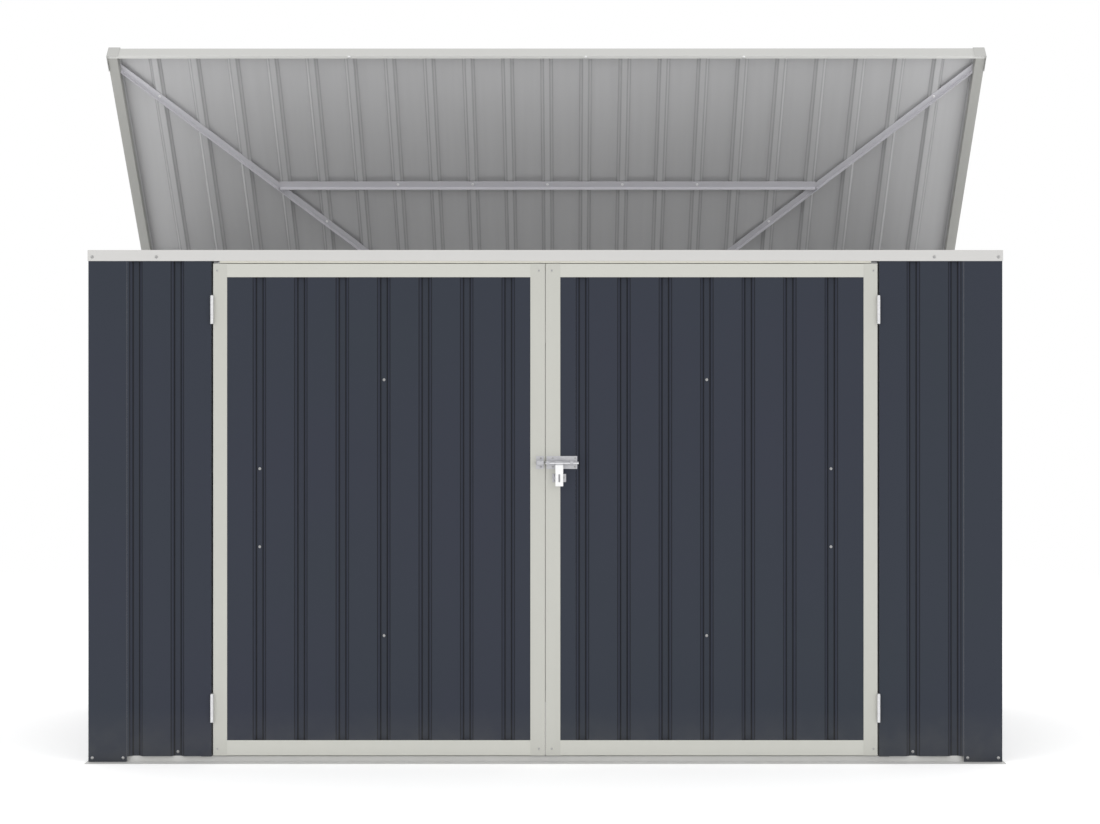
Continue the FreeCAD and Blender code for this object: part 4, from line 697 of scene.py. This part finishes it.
def lid_sheet_finish():
    """Anthracite film on the side that faces outward, and bright rolled zinc under it, both with painted
    shade on the bends of the ribs.
    """
    finish = Finish("lid_sheets")
    where = finish.place()
    outside = finish.facing_share(LID_OUTWARD)
    bends = rib_zones(finish.axis(where, "X"), 0.0)[0]
    drift = finish.noise(where, LID_DRIFT)
    film = finish.blend(drift, FILM_BLUE, FILM_GREEN)
    film = finish.blend(bends * TOP_BEND_PAINTED_SHADE_SHARE, film, FILM_BEND_PAINTED_SHADE)
    rolled = finish.noise(where, ROLL_MARKS, 4.0, ROLLED_ACROSS_X)
    under = finish.blend(drift * 0.5 + rolled * 0.5, UNDER_DARK, UNDER_LIGHT)
    under = finish.blend(bends * UNDER_BEND_PAINTED_SHADE_SHARE, under, UNDER_BEND_PAINTED_SHADE)
    return finish.wear(
        Base_Color=finish.blend(outside, under, film),
        Metallic=(1 - outside) * UNDER_METAL,
        Roughness=LID_ROUGHNESS + rolled * ROLL_ROUGHNESS,
        Specular_IOR_Level=LID_SHEEN,
        Normal=finish.bump(rolled, ROLL_STRENGTH, ROLL_DEPTH),
    )


# %% Give every node its finish
FRONT_RIB, DOOR_RIB, SIDE_RIB = 0.9464, 0.0955, 0.48015
FORWARD, BACKWARD = (0, -1, 0), (0, 1, 0)
ZINC_CELL, CHROME_CELL = 0.004, 0.02
finishes = {
    "painted_front_panels": painted_sheet("painted_front_panels", FORWARD, "X", FRONT_RIB, True),
    "painted_door_sheets": painted_sheet("painted_door_sheets", FORWARD, "X", DOOR_RIB, True),
    "painted_side_sheets": painted_sheet("painted_side_sheets", None, "Y", SIDE_RIB),
    "painted_rear_sheets": painted_sheet("painted_rear_sheets", BACKWARD, "X"),
    "painted_corners": painted_sheet("painted_corners"),
    "painted_posts": powder_coat("painted_posts", tint(54, 57, 66), tint(48, 51, 58), 0.5, 0.2),
    "off_white_rails": powder_coat("off_white_rails", tint(205, 204, 202), tint(198, 197, 195)),
    "cream_stiles": powder_coat("cream_stiles", tint(193, 193, 186), tint(186, 186, 179), 0.42, 0.08),
    "cream_rails": powder_coat("cream_rails", tint(200, 200, 193), tint(194, 194, 187), 0.42, 0.05),
    "cream_header": powder_coat("cream_header", tint(226, 224, 212), tint(219, 217, 205)),
    "floor_rails": powder_coat("floor_rails", tint(213, 213, 211), tint(206, 206, 204), 0.42, 0.12),
    # the lid's front rails and caps carry painted light: a lighter tone on what faces the ground
    "lid_front_rails": powder_coat("lid_front_rails", tint(194, 194, 191), tint(189, 189, 186),
                                   0.38, 0.0, below=tint(214, 214, 211)),
    # the side rails are a darker copy of the lid rails' grey: painted shade
    "lid_side_rails": powder_coat("lid_side_rails", tint(172, 172, 168), tint(165, 165, 161), 0.38, 0.0),
    "lid_braces": powder_coat("lid_braces", tint(208, 207, 212), tint(200, 199, 204), 0.35, 0.0, 0.1),
    "lid_caps": powder_coat("lid_caps", tint(183, 183, 180), tint(178, 178, 175),
                            0.38, 0.0, below=tint(198, 198, 195)),
    "hinge_zinc": plated("hinge_zinc", tint(229, 229, 230), tint(216, 216, 218), 0.3, ZINC_CELL),
    "latch_zinc": plated("latch_zinc", tint(197, 197, 200), tint(186, 186, 190), 0.34, ZINC_CELL),
    "fastener_zinc": plated("fastener_zinc", tint(182, 182, 182), tint(166, 166, 165), 0.3, ZINC_CELL),
    # near-white screw heads on the lid: a painted highlight on each head
    "lid_screw_zinc": plated("lid_screw_zinc", tint(252, 252, 252), tint(244, 244, 244), 0.4, ZINC_CELL),
    "bolt_steel": latch_finish("bolt_steel", False),
    "white_flap": latch_finish("white_flap", True),
    "black_tube": powder_coat("black_tube", tint(28, 28, 29), tint(22, 22, 23), 0.22, 0.0),
    "chrome_rod": plated("chrome_rod", tint(225, 225, 228), tint(215, 215, 219), 0.08, CHROME_CELL),
    "lid_sheets": lid_sheet_finish(),
}
NODE_FINISHES = {
    "painted_front_panels": ["front_panel_left", "front_panel_right"],
    "painted_door_sheets": ["door_left_sheet", "door_right_sheet"],
    "painted_side_sheets": ["side_panel_left", "side_panel_right"],
    "painted_rear_sheets": ["rear_panels"],
    "painted_corners": ["corner_cover_left", "corner_cover_right", "rear_corner_posts"],
    "off_white_rails": ["front_top_rail", "rear_top_rail", "side_top_rails", "rear_mid_rail"],
    "cream_stiles": [],
    "cream_rails": [],
    "cream_header": ["door_header"],
    "painted_posts": ["door_post_left", "door_post_right"],
    "floor_rails": ["front_sill", "floor_rails_side", "rear_floor_rail"],
    "lid_front_rails": ["lid_front_rail", "lid_rear_rail"],
    "lid_side_rails": ["lid_side_rail_left", "lid_side_rail_right"],
    "lid_braces": ["lid_diagonal_braces", "lid_cross_brace"],
    "lid_caps": ["lid_corner_caps"],
    "hinge_zinc": ["door_hinge_jamb_leaves", "hinge_pins", "lid_hinge_body_leaves", "lid_hinge_leaves",
                   "strut_wall_brackets", "strut_lid_brackets"],
    "fastener_zinc": ["body_screws"],
    "lid_screw_zinc": ["lid_screws"],
    "latch_zinc": ["latch_keeper", "latch_plate", "latch_staple"],
    "bolt_steel": ["latch_bolt"],
    "white_flap": ["latch_flap"],
    "black_tube": ["strut_cylinder_left", "strut_cylinder_right"],
    "chrome_rod": ["strut_rod_left", "strut_rod_right"],
    "lid_sheets": ["lid_sheet_1", "lid_sheet_2", "lid_sheet_3", "lid_sheet_4"],
}
for side in ("left", "right"):
    for part in ("hinge_stile", "meeting_stile", "braces"):
        NODE_FINISHES["cream_stiles"].append(f"door_{side}_{part}")
    NODE_FINISHES["cream_rails"].append(f"door_{side}_rails")
    NODE_FINISHES["hinge_zinc"].append(f"door_{side}_hinge_leaves")
    NODE_FINISHES["fastener_zinc"].append(f"door_{side}_fixings")


def coat(piece, name):
    """Give a piece one finish in place of all that it had."""
    piece.data.materials.clear()
    piece.data.materials.append(finishes[name])


for name, members in NODE_FINISHES.items():
    for member in members:
        coat(cad_nodes[member], name)
        if member in formed_pieces:
            coat(formed_pieces[member], name)
bare = set(cad_nodes) - {member for members in NODE_FINISHES.values() for member in members}
print("nodes without a finish:", sorted(bare))

# %% [markdown]
# ## Studio
# A product shot on white: two wide soft lights at the front, left and right, a softer one overhead,
# and a bright surround. The floor is a plain pale sheet that fades out at its rim. The surround is
# a little dimmer for the light that it gives than for the camera, which keeps the background white
# without washing out the steel.

# %% Studio
FLOOR_SOLID, FLOOR_EDGE = 2.4, 5.0
FLOOR_GLOW, FLOOR_ROUGHNESS = 0.3, 0.9
WHITE, PALE, PALEST = (1, 1, 1, 1), (0.93, 0.93, 0.93, 1), (0.95, 0.95, 0.95, 1)
bpy.ops.mesh.primitive_plane_add(size=2 * FLOOR_EDGE)
floor = bpy.context.object
floor.name = "floor"
pale = Finish("pale_floor")
where = pale.place()
x, y = pale.axis(where, "X"), pale.axis(where, "Y")
reach = (x * x + y * y).math("SQRT")
fade = ((FLOOR_EDGE - reach) / (FLOOR_EDGE - FLOOR_SOLID)).clamped()
floor.data.materials.append(pale.wear(
    Base_Color=pale.blend(pale.noise(where, 2.0), PALE, PALEST),
    Roughness=FLOOR_ROUGHNESS, Alpha=fade,
    Emission_Color=WHITE, Emission_Strength=FLOOR_GLOW))

SURROUND_LIGHT = 0.9
SURROUND_SEEN = 1.0
world = bpy.context.scene.world or bpy.data.worlds.new("studio")
bpy.context.scene.world = world
world.use_nodes = True
sky = world.node_tree.nodes["Background"]
sky.inputs["Color"].default_value = WHITE
seen = world.node_tree.nodes.new("ShaderNodeLightPath")
level = world.node_tree.nodes.new("ShaderNodeMapRange")
level.inputs["To Min"].default_value = SURROUND_LIGHT
level.inputs["To Max"].default_value = SURROUND_SEEN
world.node_tree.links.new(seen.outputs["Is Camera Ray"], level.inputs["Value"])
world.node_tree.links.new(level.outputs["Result"], sky.inputs["Strength"])


def soft_light(name, location, aim, size, power):
    """A square light that faces a point."""
    bpy.ops.object.light_add(type="AREA", location=location)
    light = bpy.context.object
    light.name = name
    light.data.size = size
    light.data.energy = power
    light.rotation_euler = (Vector(aim) - Vector(location)).to_track_quat("-Z", "Y").to_euler()


for side, across in (("left", -5.5), ("right", 5.5)):
    soft_light(f"{side}_light", (across, -5.5, 3.2), (0, 0, 0.8), 3.0, 60)
soft_light("top_light", (0, -0.5, 6.0), (0, 0, 0), 6.0, 40)
